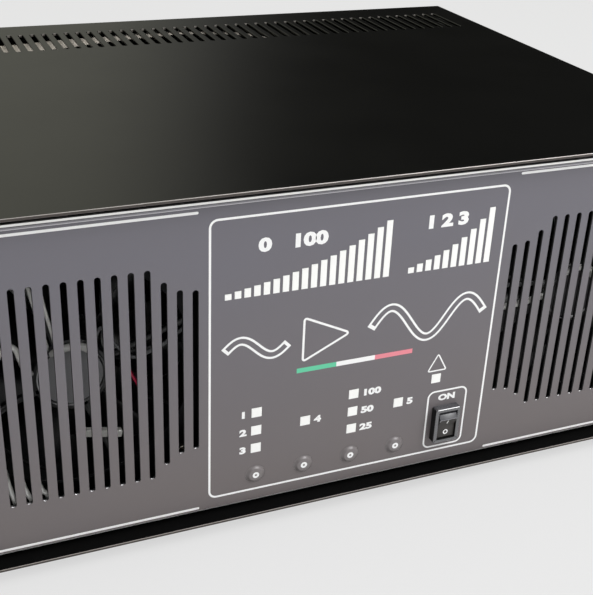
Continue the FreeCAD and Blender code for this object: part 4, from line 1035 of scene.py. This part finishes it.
def fan_frame_parts(x):
    """Two flanges with cut corners round a flared ring, and the motor's seat on its struts."""
    side = np.sign(x)
    holes = [circle(x, grille_z, bore_radius + 0.7, 96)]
    holes += [circle(x + u, grille_z + v, 2.2, 20) for u, v in fan_corners]
    outline = rectangle(x, grille_z, fan_size, fan_size, 6.0)
    flanges = [facing_front(sheet_metal(outline, holes, bevelled(flange, 0.4)), y)
               for y in (fan_front, fan_back - flange)]
    length = fan_back - fan_front
    flare = [(1.2, 0), (0.4, 0.6), (0, 2.2), (0, length - 2.2), (0.4, length - 0.6), (1.2, length),
             (2, length), (2, 0)]
    ring = hoop([(bore_radius + out, depth) for out, depth in flare], (x, fan_front, grille_z), 96)
    seat = [(0, 0), (hub_radius - 0.8, 0), (hub_radius, 0.8), (hub_radius, seat_height - 0.4),
            (hub_radius - 0.4, seat_height), (1.6, seat_height), (1.6, 1), (0, 1)]
    struts = [strut_surface(x, side * math.radians(20) + k * math.pi / 2) for k in range(4)]
    return [*flanges, ring, lathe(seat, (x, motor_front, grille_z), 64), *struts]


def blade_surface(x, turn):
    """Twisted blade: a section with rounded edges is wrapped round the hub, longer at each larger radius.

    At a share c of the chord its middle lies 22 c - 12 c (1 - c) back, and it is sqrt(1 - |2 c - 1|^3)
    thick to either side. The chord grows straight with the radius, and less so towards the tip.
    """
    chord = (1 - np.cos(np.linspace(0, np.pi, 15))) / 2
    half = np.sqrt(np.clip(1 - np.abs(2 * chord - 1) ** 3, 0, 1)) + 0.06
    middle_line = 22 * chord - 12 * chord * (1 - chord) + 2.0
    around = np.concatenate([chord, chord[::-1]]) - 0.5
    depth = np.concatenate([middle_line - half, (middle_line + half)[::-1]])
    share = np.linspace(0, 1, 12)[:, None]
    radius = root_radius + (tip_radius - root_radius) * share
    angle = (13 + 23 * share) * (1 - 0.10 * share ** 10) * around / radius + turn
    return loft(np.stack([x + radius * np.sin(angle), np.broadcast_to(hub_front + depth, angle.shape),
                          grille_z + radius * np.cos(angle)], -1))


def rotor_parts(x):
    """Hub with a softened rim, its shaft stub, and the ring of blades."""
    rim = [(1.5, 0), (0.45, 0.45), (0, 1.5), (0, 26.5), (0.45, 27.55), (1.5, 28), (3, 28), (3.6, 27.2)]
    hub = [(0, -4.5), (1.5, -4.5), (1.5, 0), *[(hub_radius - cut, depth) for cut, depth in rim], (0, 27.2)]
    blades = [blade_surface(x, 2 * math.pi * k / blade_count) for k in range(blade_count)]
    return [lathe(hub, (x, hub_front, grille_z), 72), *blades]


label_profile = [(0, -0.12), (label_radius, -0.12), (label_radius, 0.02), (0, 0.02)]
rim_profile = [(rim_radius - cut, depth) for cut, depth in
               ((1.4, 0.1), (1.0, -0.4), (0.4, -0.45), (0, -0.1), (0, 0.4), (1.0, 0.4))]
# The right fan's label is the same label made darker, painted shade
for name, x, label in (("left_fan", -grille_x, label_grey), ("right_fan", grille_x, label_in_shade)):
    seat = (x, motor_front, grille_z)
    piece(name + "_label", [(lathe(label_profile, seat, 64), label)], "fan_plastic")
    piece(name + "_rim", [(hoop(rim_profile, seat, 72), rim_steel)], "fan_plastic")
    piece(name + "_housing", in_finish(fan_black, fan_frame_parts(x)), "fan_plastic", name + "_frame")
    piece(name + "_wheel", in_finish(fan_black, rotor_parts(x)), "fan_plastic", name + "_rotor", body=name)


# Leads

ribbon_wires = 10
ribbon_pitch = 1.27
ribbon_samples = 110


def lead(route, radius):
    """Round lead through (across, depth behind the film, up) points."""
    return tube([(x, face_y + depth, z) for x, depth, z in route], radius)


def small_block(centre, size, slope):
    """Moulded block with rounded edges: its long way slopes in the panel's plane."""
    width, thickness, height = size
    levels = [(0.3, 0), (0, 0.3), (0, thickness - 0.3), (0.3, thickness)]
    sections = [(width - 2 * cut, height - 2 * cut, 0.6, depth) for cut, depth in levels]
    points, faces = moulding(0, 0, sections, 3)
    x, y, z = points.T
    cosine, sine = math.cos(math.radians(slope)), math.sin(math.radians(slope))
    turned = np.column_stack([x * cosine - z * sine, y, x * sine + z * cosine])
    return turned + (centre[0], face_y + centre[1], centre[2]), faces


def ribbon(route, across, twist):
    """Flat lead of joined wires: a rippled strip, t = 0.28 + 0.2 |sin|, carried along a smooth route.

    twist is how far its far edge stands up at each point of the route, as a slope.
    """
    line = smooth_line(route, ribbon_samples)
    slope = np.interp(np.linspace(0, len(route) - 1, ribbon_samples), np.arange(len(route)), twist)
    across = np.asarray(across, float) + slope[:, None] * (0, 0, 1)
    across /= np.linalg.norm(across, axis=1, keepdims=True)
    up = np.cross(np.gradient(line, axis=0), across)
    up /= np.linalg.norm(up, axis=1, keepdims=True)
    u = np.linspace(-ribbon_wires / 2, ribbon_wires / 2, ribbon_wires * 4 + 1)
    thick = 0.28 + 0.2 * np.abs(np.sin(np.pi * u))
    wide = np.concatenate([u, u[::-1]]) * ribbon_pitch
    tall = np.concatenate([thick, -thick[::-1]]) - 0.008 * wide ** 2
    return loft(line[:, None] + wide[None, :, None] * across[:, None] + tall[None, :, None] * up[:, None])


def hub_lead(x):
    """Sleeved lead that comes out of the motor's seat and goes in again, over its top."""
    bow = [(-8.4, 16.8, 12.6), (-6.4, 14.2, 14.4), (-3.0, 13.7, 15.9), (0.5, 13.7, 16.2), (4.5, 13.7, 15.7),
           (7.8, 13.9, 13.8), (9.8, 14.6, 10.8), (10.6, 17.0, 8.6)]
    return lead([(x + dx, depth, grille_z + dz) for dx, depth, dz in bow], 1.8), sleeving


left_routes = [
    (wire_grey, 0.9,
     [(-127.0, 16.6, 111.0), (-124.0, 13.0, 119.5), (-117.5, 12.0, 109.5), (-109.7, 12.0, 102.2),
      (-102.0, 12.0, 104.1), (-94.8, 13.0, 106.5), (-82.3, 17.0, 112.0)]),
    (wire_black, 0.8,
     [(-120.6, 17.0, 101.5), (-117.5, 12.0, 103.5), (-114.6, 7.6, 102.8), (-113.7, 6.0, 100.2)]),
    (wire_red, 0.75,
     [(-113.9, 6.1, 100.8), (-112.4, 6.0, 96.5), (-110.2, 6.0, 91.7), (-108.5, 6.1, 87.6)]),
    (wire_black, 0.8,
     [(-108.6, 6.0, 88.0), (-106.0, 7.0, 83.0), (-98.0, 11.0, 77.0), (-87.6, 17.0, 67.0)]),
    (sleeving, 1.3,
     [(-196.8, 17.5, 101.0), (-190.0, 13.0, 103.0), (-182.0, 7.5, 107.0), (-174.2, 5.0, 111.5),
      (-170.0, 5.0, 119.4), (-166.5, 5.0, 121.7), (-163.6, 5.0, 119.8), (-162.0, 5.2, 114.5),
      (-160.0, 8.0, 107.0), (-156.2, 16.6, 99.6)]),
    (sleeving, 0.85,
     [(-157.3, 18.0, 150.9), (-157.3, 14.5, 146.6), (-157.0, 9.0, 148.0), (-156.5, 5.4, 150.0),
      (-155.6, 5.0, 146.0), (-154.5, 5.0, 139.7), (-152.0, 6.0, 128.0), (-149.5, 10.0, 117.0),
      (-148.4, 16.8, 110.3)]),
    (sleeving, 0.85,
     [(-151.8, 18.0, 152.6), (-151.6, 14.5, 148.3), (-151.3, 9.0, 147.0), (-150.8, 5.6, 144.0),
      (-150.0, 5.0, 138.0), (-147.4, 5.0, 124.8), (-145.9, 7.0, 116.5), (-144.4, 16.8, 112.4)]),
    (sleeving, 1.25,
     [(-173.5, 19.0, 48.4), (-173.3, 15.5, 52.6), (-173.0, 9.0, 54.5), (-172.6, 5.4, 52.2),
      (-172.1, 4.9, 48.9), (-170.1, 4.9, 39.2), (-169.0, 6.5, 32.0), (-168.6, 10.5, 26.0)]),
    (sleeving, 1.25,
     [(-166.5, 19.0, 43.9), (-166.4, 15.5, 48.6), (-166.2, 9.0, 50.5), (-165.7, 5.4, 48.4),
      (-165.1, 4.9, 45.5), (-162.4, 4.9, 37.8), (-161.0, 6.5, 32.0), (-160.6, 10.5, 26.0)]),
    (sleeving, 1.25,
     [(-159.3, 19.0, 40.4), (-159.1, 15.5, 45.4), (-158.7, 9.0, 47.0), (-158.0, 5.4, 44.8),
      (-157.0, 4.9, 42.3), (-155.3, 4.9, 40.1), (-153.4, 6.0, 34.0), (-152.4, 10.5, 26.0)])]
right_routes = [
    (sleeving, 1.7,
     [(120.5, 17.0, 98.6), (116.0, 11.0, 100.0), (109.7, 6.0, 102.2), (98.3, 5.0, 101.3),
      (87.1, 5.4, 100.3), (79.9, 17.0, 95.0)]),
    (wire_grey, 1.1,
     [(121.5, 17.0, 103.0), (115.5, 11.0, 107.5), (108.8, 6.0, 110.8), (101.9, 5.0, 111.7),
      (93.6, 5.0, 112.2), (86.2, 6.4, 112.3), (80.7, 17.0, 105.5)])]
left_leads = [(lead(route, radius), material) for material, radius, route in left_routes]
left_leads += [hub_lead(-grille_x),
               (small_block((-125.5, 12.2, 62.6), (18.0, 3.3, 3.8), -12.5), nylon_white),
               (small_block((-160.5, 9.2, 24.5), (27.0, 4.2, 8.0), 0.0), nylon_white)]
right_leads = [(lead(route, radius), material) for material, radius, route in right_routes]
piece("left_fan_leads", left_leads, "fan_plastic")
piece("right_fan_leads", [*right_leads, hub_lead(grille_x)], "fan_plastic")

supply_x, supply_end = middle("supply_terminals")[0], box("supply_terminals")[1]
jack_end = box("control_jacks")[0]
ribbon_route = [(supply_x - 10, supply_end[1] - 5, supply_end[2] + 1), (-153, 118, 148),
                (-148, 117, 170), (-132, 114, 180.2), (-114, 114.5, 181), (-84, 121, 181),
                (-54, 127.5, 181), (-24, 132.5, 181), (8, 135, 180.5), (60, 135.5, 174),
                (108, 131, 152), (jack_end[0] + 2, jack_end[1] - 8, 133)]
ribbon_twist = (0, 0, 0, 0.08, 0.15, 0.15, -0.02, -0.07, -0.1, -0.1, 0, 0)
flat_lead = ribbon(ribbon_route, (-0.2, 0.98, 0), ribbon_twist)
piece("control_ribbon", [(flat_lead, ribbon_grey)], "circuit_board")


# Front frame

def frame_holes():
    """Fan openings, screw and stud holes, and the opening round the switch."""
    holes = [circle(x, grille_z, bore_radius, 96) for x in (-grille_x, grille_x)]
    holes += [circle(x + u, grille_z + v, 2.1, 20) for x in (-grille_x, grille_x) for u, v in fan_corners]
    holes += [circle(x, z, 2.1, 20) for x, _, z in middles("panel_studs")]
    return [*holes, rectangle(switch_x, switch_z, 17.0, 23.0, 1.0, 4)]


front_span = (front_low[2], front_high[2])
frame_plate = folded_foot(front_high[0], front_span, 22.0, front_low[1], 1, frame_holes())
piece("front_bulkhead", [(frame_plate, black_zinc)], "zinc_sheet", "front_frame")


# Rear panel and connectors

sockets = {name: middle(name) for name in ("output_socket", "input_socket")}
socket_end = box("output_socket")[1][1]
socket_flange = 25.4
flange_thickness = 3.0
mouth_depth = 13.0
jacks = [(x, z) for x, _, z in middles("control_jacks")]
inlet_x, _, inlet_z = middle("mains_inlet")
inlet_rim = 2.5
fuse_x = middle("fuse_cap")[0]
ground_x, _, ground_z = middle("ground_stud")
rear_slots = 12
rear_slots_z = floor_z + 85.0
rear_slot_height = 84.0


def rear_holes():
    """Outlet slots and the holes for what the rear panel carries."""
    holes = [rectangle(x, rear_slots_z, slot_width, length, slot_width / 2 - hair)
             for x, length in slot_row(rear_slots, rear_slot_height)]
    holes += [circle(x, z, 6.5, 40) for x, _, z in sockets.values()]
    holes += [circle(x, z, 4.1, 32) for x, z in jacks]
    return [*holes, rectangle(inlet_x, inlet_z, 28.4, 20.4, 0.6, 4), circle(fuse_x, inlet_z, 6.2, 40),
            circle(ground_x, ground_z, 3.0, 28)]


def round_rings(place, radius, along, turn):
    """Rings along the depth axis, by the radius and the distance of each point at its turn."""
    x, y, z = place
    return np.stack([x + radius * np.cos(turn), y + along + 0 * turn, z + radius * np.sin(turn)], -1)


def flat_rings(place, profile, steps=40):
    """Plain rings along the depth axis from a (radius, distance) profile."""
    radius, along = np.asarray(profile, float).T[:, :, None]
    return round_rings(place, radius, along, turns(steps))


def thread_rings(place, radius, pitch, depth, start, end, steps=40):
    """Screw thread: the radius falls by a triangle wave of turn and distance, and fades at the ends."""
    along = np.linspace(start, end, int((end - start) / pitch * 8))[:, None]
    wave = np.abs(((along / pitch - turns(steps) / (2 * np.pi)) % 1) * 2 - 1)
    fade = np.clip(np.minimum(along - start, end - along) / pitch, 0, 1)
    return round_rings(place, radius - depth * wave * fade, along, turns(steps))


def hex_nut(x, z, radius, height, chamfer, rise):
    """Six-sided nut on the rear panel, chamfered over a rise at both ends."""
    levels = ((chamfer, 0), (0, rise), (0, height - rise), (chamfer, height))
    return stack([(six_sided(x, z, radius - cut), depth) for cut, depth in levels], rear_y)


def socket_parts(x, z):
    """Coaxial socket: flange, threaded barrel with a deep mouth, and its end behind the panel."""
    place = (x, rear_y, z)
    end = socket_end - rear_y
    mouth = [(7.5, end - 0.4), (7.0, end), (6.1, end), (5.6, end - 0.5), (5.6, end - mouth_depth),
             (4.0, end - mouth_depth)]
    barrel = [flat_rings(place, [(7.0, 2.5), (7.3, 3.6)]),
              thread_rings(place, 7.9, 1.06, 0.5, 4.0, end - 0.9), flat_rings(place, mouth)]
    outline = rectangle(x, z, socket_flange, socket_flange, 1.2, 4)
    tail = [(0, -10.5), (2.0, -10.5), (2.0, -7.5), (6.3, -7.5), (6.5, -7.2), (6.5, 0.5), (0, 0.5)]
    return [loft(np.concatenate(barrel)), lathe(tail, place, 36),
            facing_front(sheet_metal(outline, [], bevelled(flange_thickness, 0.4)), rear_y)]


def contact_parts(x, z):
    """White insulator and the hollow, slotted centre contact."""
    place = (x, socket_end - mouth_depth, z)
    insulator = [(0, 0), (5.6, 0), (5.6, 3.0), (4.2, 3.0), (4.0, 3.4), (0, 3.4)]
    contact = [(0, 3.0), (3.2, 3.0), (3.2, 7.2), (2.9, 7.5), (2.2, 7.5), (2.0, 7.2), (2.0, 3.6), (0, 3.6)]
    return [(lathe(insulator, place, 36), ptfe), (lathe(contact, place, 36), brass)]


def phono_parts(x, z):
    """Phono jack: plated shell round a black insulator with its centre hole, and a six-sided nut."""
    place = (x, rear_y, z)
    shell = [(3.9, -13.5), (4.1, -13.2), (4.1, 8.6), (3.8, 9.0), (3.3, 9.0), (3.1, 8.7), (3.1, 2.0),
             (3.1, -13.5)]
    core = [(0, -13.4), (3.2, -13.4), (3.2, 7.6), (2.0, 7.8), (1.6, 7.6), (1.6, 0.6), (0, 0.6)]
    return [(hoop(shell, place, 40), nickel), (lathe(core, place, 40), gloss_black),
            (hex_nut(x, z, 6.4, 2.0, 0.5, 0.4), nickel)]


def stud_surface(place):
    """Rings of the stud from its inner end to its chamfered tip."""
    shank = flat_rings(place, [(2.6, -9.5), (2.95, -9.1), (2.95, 4.0)], 32)
    thread = thread_rings(place, 3.0, 1.0, 0.42, 4.3, 21.2, 32)
    return loft(np.concatenate([shank, thread, flat_rings(place, [(2.4, 21.6), (2.0, 22.0)], 32)]))


def wing_parts(place):
    """Wing nut: a tapered round hub, and two rounded wings that slope away from it."""
    hub = [(3.05, 5.1), (4.7, 5.1), (5.0, 5.5), (4.7, 10.6), (4.3, 11.0), (3.05, 11.0)]
    wing = np.array([(3.4, 5.4), (5.6, 5.4), (12.0, 9.8), (12.0, 14.8), (8.8, 14.8), (3.4, 10.8)])
    levels = [(-1.2, 0.5), (-0.9, 0.15), (-0.5, 0), (0.5, 0), (0.9, 0.15), (1.2, 0.5)]
    parts = [hoop(hub, place, 40)]
    for side in (-1, 1):
        points, faces = sheet_metal(rounded((wing * (side, 1))[::side], 0.9, 5), [], levels)
        parts.append((points + place, faces))
    return parts


def inlet_surface():
    """Mains inlet: body, flange with rounded corners and a deep mouth."""
    sections = [(28, 20, 0.8, -22.0), (28, 20, 0.8, 0.0), (50, 24, 3.0, 0.0), (50, 24, 3.0, 2.0),
                (49.2, 23.2, 2.8, inlet_rim), (25.2, 18.2, 1.6, inlet_rim), (24, 17, 1.2, 2.0),
                (24, 17, 1.2, -13.5)]
    return moulding(inlet_x, inlet_z, sections, 5, rear_y)


def pin_surface(low, high):
    """Flat pin of the inlet with a rounded tip."""
    (x, _, z), (width, _, height) = (low + high) / 2, high - low
    levels = ((0, low[1]), (0, high[1] - 0.8), (0.12, high[1] - 0.35), (0.4, high[1]))
    return moulding(x, z, [(width - 2 * cut, height - 2 * cut, 0.3, y) for cut, y in levels], 3)


def fuse_cap_surface():
    """Ribbed cap with a slot for a coin: the radius falls and rises with the cosine of 24 turns."""
    place = np.array([fuse_x, rear_y + 2.5, inlet_z])
    turn = turns(96)
    along, ribbed, cut = np.array([(0, 0, 0.4), (0.4, 0, 0), (0.8, 1, 0), (8.4, 1, 0)]).T[:, :, None]
    side = round_rings(place, 6.5 + ribbed * 0.22 * (np.cos(24 * turn) - 1) - cut, along, turn)
    share = np.array([0.96, 0.9, 0.8, 0.65, 0.5, 0.35, 0.2, 0.08, 0.02])[:, None]
    u, v = 6.3 * share * np.cos(turn), 6.3 * share * np.sin(turn)
    drop = 2.0 * np.clip((1.15 - np.abs(v)) / 0.15, 0, 1)
    return loft(np.concatenate([side, np.stack([u, 10.0 - 0.5 * share ** 6 - drop, v], -1) + place]))


def foot_surface(x, y):
    """Moulded foot: rounded rim on the floor, a well for its screw, wider at the case."""
    profile = [(0, 3.4), (3.9, 3.4), (4.2, 3.1), (4.4, 0.5), (4.9, 0.0), (8.4, 0.0), (8.9, 0.25),
               (9.1, 0.8), (10.9, 8.2), (11.0, 9.0), (0, 9.0)]
    return lathe(profile, (x, y, 0), 64, (0, 0, 1))


collar = [(0, -31.5), (6.2, -31.5), (6.2, 0.0), (8.5, 0.0), (8.5, 1.9), (7.9, 2.5), (0, 2.5)]
fuse_collar = lathe(collar, (fuse_x, rear_y, inlet_z), 56)
ground = (ground_x, rear_y, ground_z)
for name, (x, _, z) in sockets.items():
    piece(name.replace("_socket", "_connector"), in_finish(nickel, socket_parts(x, z)),
          "nickel_hardware", name)
contacts = [part for x, _, z in sockets.values() for part in contact_parts(x, z)]
piece("connector_contacts", contacts, "socket_insulator", "socket_contacts")
rear_span = (rear_low[2], rear_high[2])
rear_plate = folded_foot(rear_high[0], rear_span, 14.0, rear_y, -1, rear_holes())
piece("rear_plate", [(rear_plate, coat)], "black_powder_coat", "rear_panel")
phonos = [part for x, z in jacks for part in phono_parts(x, z)]
piece("phono_jacks", phonos, "nickel_hardware", "control_jacks")
ground_parts = [stud_surface(ground), hex_nut(ground_x, ground_z, 5.8, 5.0, 0.6, 0.5)]
piece("earth_stud", in_finish(brass, ground_parts), "tinned_brass", "ground_stud")
piece("earth_wing_nut", in_finish(brass, wing_parts(ground)), "tinned_brass", "wing_nut")
piece("inlet_moulding", [(inlet_surface(), gloss_black)], "black_plastic", "mains_inlet")
pins = [pin_surface(low, high) for low, high in solids("inlet_pins")]
piece("inlet_contacts", in_finish(nickel, pins), "tinned_brass", "inlet_pins")
piece("fuse_collar", [(fuse_collar, gloss_black)], "black_plastic", "fuse_holder")
piece("fuse_knob", [(fuse_cap_surface(), gloss_black)], "black_plastic", "fuse_cap")
feet = [foot_surface(x, y) for x, y, _ in middles("feet")]
piece("case_feet", in_finish(rubber, feet), "foot_rubber", "feet")


# Screws

fan_head = 2.2
socket_screw = 9.1
inlet_screw = 20


def pan_screws(seats, radius, height, shank, shank_radius):
    """Pan-head screws with a cross recess, on (place, axis) seats; a plain shank goes back from each."""
    profile = [(shank_radius, -shank), (shank_radius, 0.1)]
    parts = []
    for place, axis in seats:
        parts += [cross_headed(place, axis, radius, height), lathe(profile, place, 16, axis, (True, True))]
    return parts


backwards, forwards = (0, 1, 0), (0, -1, 0)
side_seats = [((np.sign(x) * case_high[0], y, z), (np.sign(x), 0, 0))
              for x, y, z in middles("cover_screws")]
fan_seats = [((x, low[1] + fan_head, z), forwards)
             for (low, _), (x, _, z) in zip(solids("fan_screws"), middles("fan_screws"))]
small_seats = [((x + u, rear_y + flange_thickness, z + v), backwards) for x, _, z in sockets.values()
               for u in (-socket_screw, socket_screw) for v in (-socket_screw, socket_screw)]
small_seats += [((inlet_x + u, rear_y + inlet_rim, inlet_z), backwards)
                for u in (-inlet_screw, inlet_screw)]
side_screws = pan_screws(side_seats, 3.9, 2.2, 6.0, 1.95)
fan_screws = pan_screws(fan_seats, 3.9, fan_head, 5.5, 1.95)
piece("side_screws", in_finish(black_oxide, side_screws), "black_screw", "cover_screws")
piece("fan_fixings", in_finish(nickel, fan_screws), "nickel_hardware", "fan_screws")
piece("flange_screws", in_finish(nickel, pan_screws(small_seats, 2.5, 1.5, 2.0, 1.2)), "nickel_hardware")


# Materials of the CAD nodes that stay

node_finishes = {
    diffuser: ("bar_light_guides", "status_light_guides"),
    board_green: ("display_board", "rf_board", "filter_board"),
    nickel: ("display_standoffs", "panel_studs", "panel_nuts", "filter_pillars"),
    gloss_black: ("tact_switches", "supply_terminals"),
    brass: ("rocker_terminals",),
    mill_metal: ("supply_case", "heatsink"),
    copper: ("copper_spreader", "transformer_tubes"),
    ceramic: ("rf_transistors",),
    ferrite_grey: ("transformer_core",),
    sleeve_blue: ("reservoir_capacitors",),
    core_red: ("filter_coils",),
    relay_blue: ("filter_relays",),
}
for material, names in node_finishes.items():
    for name in names:
        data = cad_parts[name].data
        data.materials.clear()
        data.materials.append(material)


# Stage, light and camera; lengths are in metres from here

def paper_floor():
    """Pale paper that takes the object's shadow; to the camera most of its brightness is even."""
    material = bpy.data.materials.new("paper_pale")
    material.use_nodes = True
    tree = material.node_tree
    tree.nodes.clear()
    paper = add(tree, "ShaderNodeBsdfDiffuse", {"Color": linear("e2e2e2")})
    even = add(tree, "ShaderNodeEmission", {"Color": linear("e6e6e6")})
    path = add(tree, "ShaderNodeLightPath")
    share = add(tree, "ShaderNodeMath", {0: path.outputs["Is Camera Ray"], 1: 0.8}, operation="MULTIPLY")
    mix = add(tree, "ShaderNodeMixShader",
              {"Fac": share.outputs[0], 1: paper.outputs[0], 2: even.outputs[0]})
    add(tree, "ShaderNodeOutputMaterial", {"Surface": mix.outputs[0]})
    return material


floor_data = bpy.data.meshes.new("floor")
floor_data.from_pydata([(-6, -4, 0), (6, -4, 0), (6, 6, 0), (-6, 6, 0)], [], [(0, 1, 2, 3)])
floor_data.materials.append(paper_floor())
floor = placed("floor", floor_data)


def studio_world():
    """White studio, brighter overhead: a dark slanted screen low at the back right, a warm wall left of it.

    Each edge is a smooth step of the direction's x, y or z, or of x + z / 3 for the slanted one. The
    screen is the product of three of them, and takes the light away. The camera, and what it sees
    through a clear piece, has plain grey in place of all this.
    """
    world = bpy.data.worlds.new("studio")
    world.use_nodes = True
    bpy.context.scene.world = world
    tree = world.node_tree
    tree.nodes.clear()
    way = add(tree, "ShaderNodeTexCoord").outputs["Generated"]
    axes = add(tree, "ShaderNodeSeparateXYZ", {"Vector": way}).outputs
    slant = add(tree, "ShaderNodeMath", {0: axes["Z"], 1: 1 / 3, 2: axes["X"]}, operation="MULTIPLY_ADD")
    edges = []
    for value, start, end, low, high in (
            (slant.outputs[0], 0.27, 0.455, 0, 1), (axes["Y"], -0.1, 0.45, 0, 1),
            (axes["Z"], 0.92, 0.6, 0, 1), (axes["X"], -0.75, -0.2, 0.3, 1),
            (axes["Z"], 0.2, 1.0, 0.31, 1.5)):
        span = {"Value": value, "From Min": start, "From Max": end, "To Min": low, "To Max": high}
        edge = add(tree, "ShaderNodeMapRange", span, interpolation_type="SMOOTHSTEP")
        edges.append(edge.outputs["Result"])
    right, behind, below, side, overhead = edges
    screen = add(tree, "ShaderNodeMath", {0: right, 1: behind}, operation="MULTIPLY").outputs[0]
    screen = add(tree, "ShaderNodeMath", {0: screen, 1: below}, operation="MULTIPLY").outputs[0]
    past_screen = add(tree, "ShaderNodeMath", {0: 1.0, 1: screen}, operation="SUBTRACT").outputs[0]
    power = add(tree, "ShaderNodeMath", {0: overhead, 1: past_screen}, operation="MULTIPLY").outputs[0]
    power = add(tree, "ShaderNodeMath", {0: power, 1: side}, operation="MULTIPLY").outputs[0]
    left = add(tree, "ShaderNodeMath", {0: 1.0, 1: right}, operation="SUBTRACT").outputs[0]
    wall = add(tree, "ShaderNodeMath", {0: left, 1: behind}, operation="MULTIPLY").outputs[0]
    tint = add(tree, "ShaderNodeValToRGB", {"Fac": wall})
    tint.color_ramp.elements[0].color = linear("ffffff")
    tint.color_ramp.elements[1].color = linear("ffffee")
    soft = add(tree, "ShaderNodeBackground", {"Color": tint.outputs["Color"], "Strength": power})
    path = add(tree, "ShaderNodeLightPath").outputs
    seen = add(tree, "ShaderNodeMath", {0: path["Is Camera Ray"], 1: path["Is Transmission Ray"]},
               operation="MAXIMUM")
    plain_back = add(tree, "ShaderNodeBackground", {"Color": linear("e6e6e6"), "Strength": 1.0})
    mix = add(tree, "ShaderNodeMixShader",
              {"Fac": seen.outputs[0], 1: soft.outputs[0], 2: plain_back.outputs[0]})
    add(tree, "ShaderNodeOutputWorld", {"Surface": mix.outputs[0]})


def soft_box(name, place, size, power):
    """Square light that faces the middle of the case."""
    light = bpy.data.lights.new(name, "AREA")
    light.size, light.energy = size, power
    holder = placed(name, light)
    holder.location = place
    holder.rotation_euler = (Vector((0, 0, 0.1)) - Vector(place)).to_track_quat("-Z", "Y").to_euler()


studio_world()
soft_box("key", (0.9, -0.98, 1.3), 0.8, 20)
soft_box("fill", (-1.5, -1.5, 1.1), 1.6, 1.5)

# The camera's place, then its right, up and backward directions
camera_place = (-0.21042, -0.56956, 0.35533)
camera_axes = ((0.925078, -0.377709, 0.039583), (0.140162, 0.436423, 0.888758),
               (-0.352967, -0.816622, 0.456665))
camera_data = bpy.data.cameras.new("camera")
camera_data.sensor_fit, camera_data.sensor_width, camera_data.lens = "HORIZONTAL", 36.0, 64.609
camera = placed("camera", camera_data)
camera.matrix_world = Matrix.Translation(camera_place) @ Matrix(camera_axes).transposed().to_4x4()
bpy.context.scene.camera = camera
bpy.context.scene.view_settings.view_transform = "Standard"
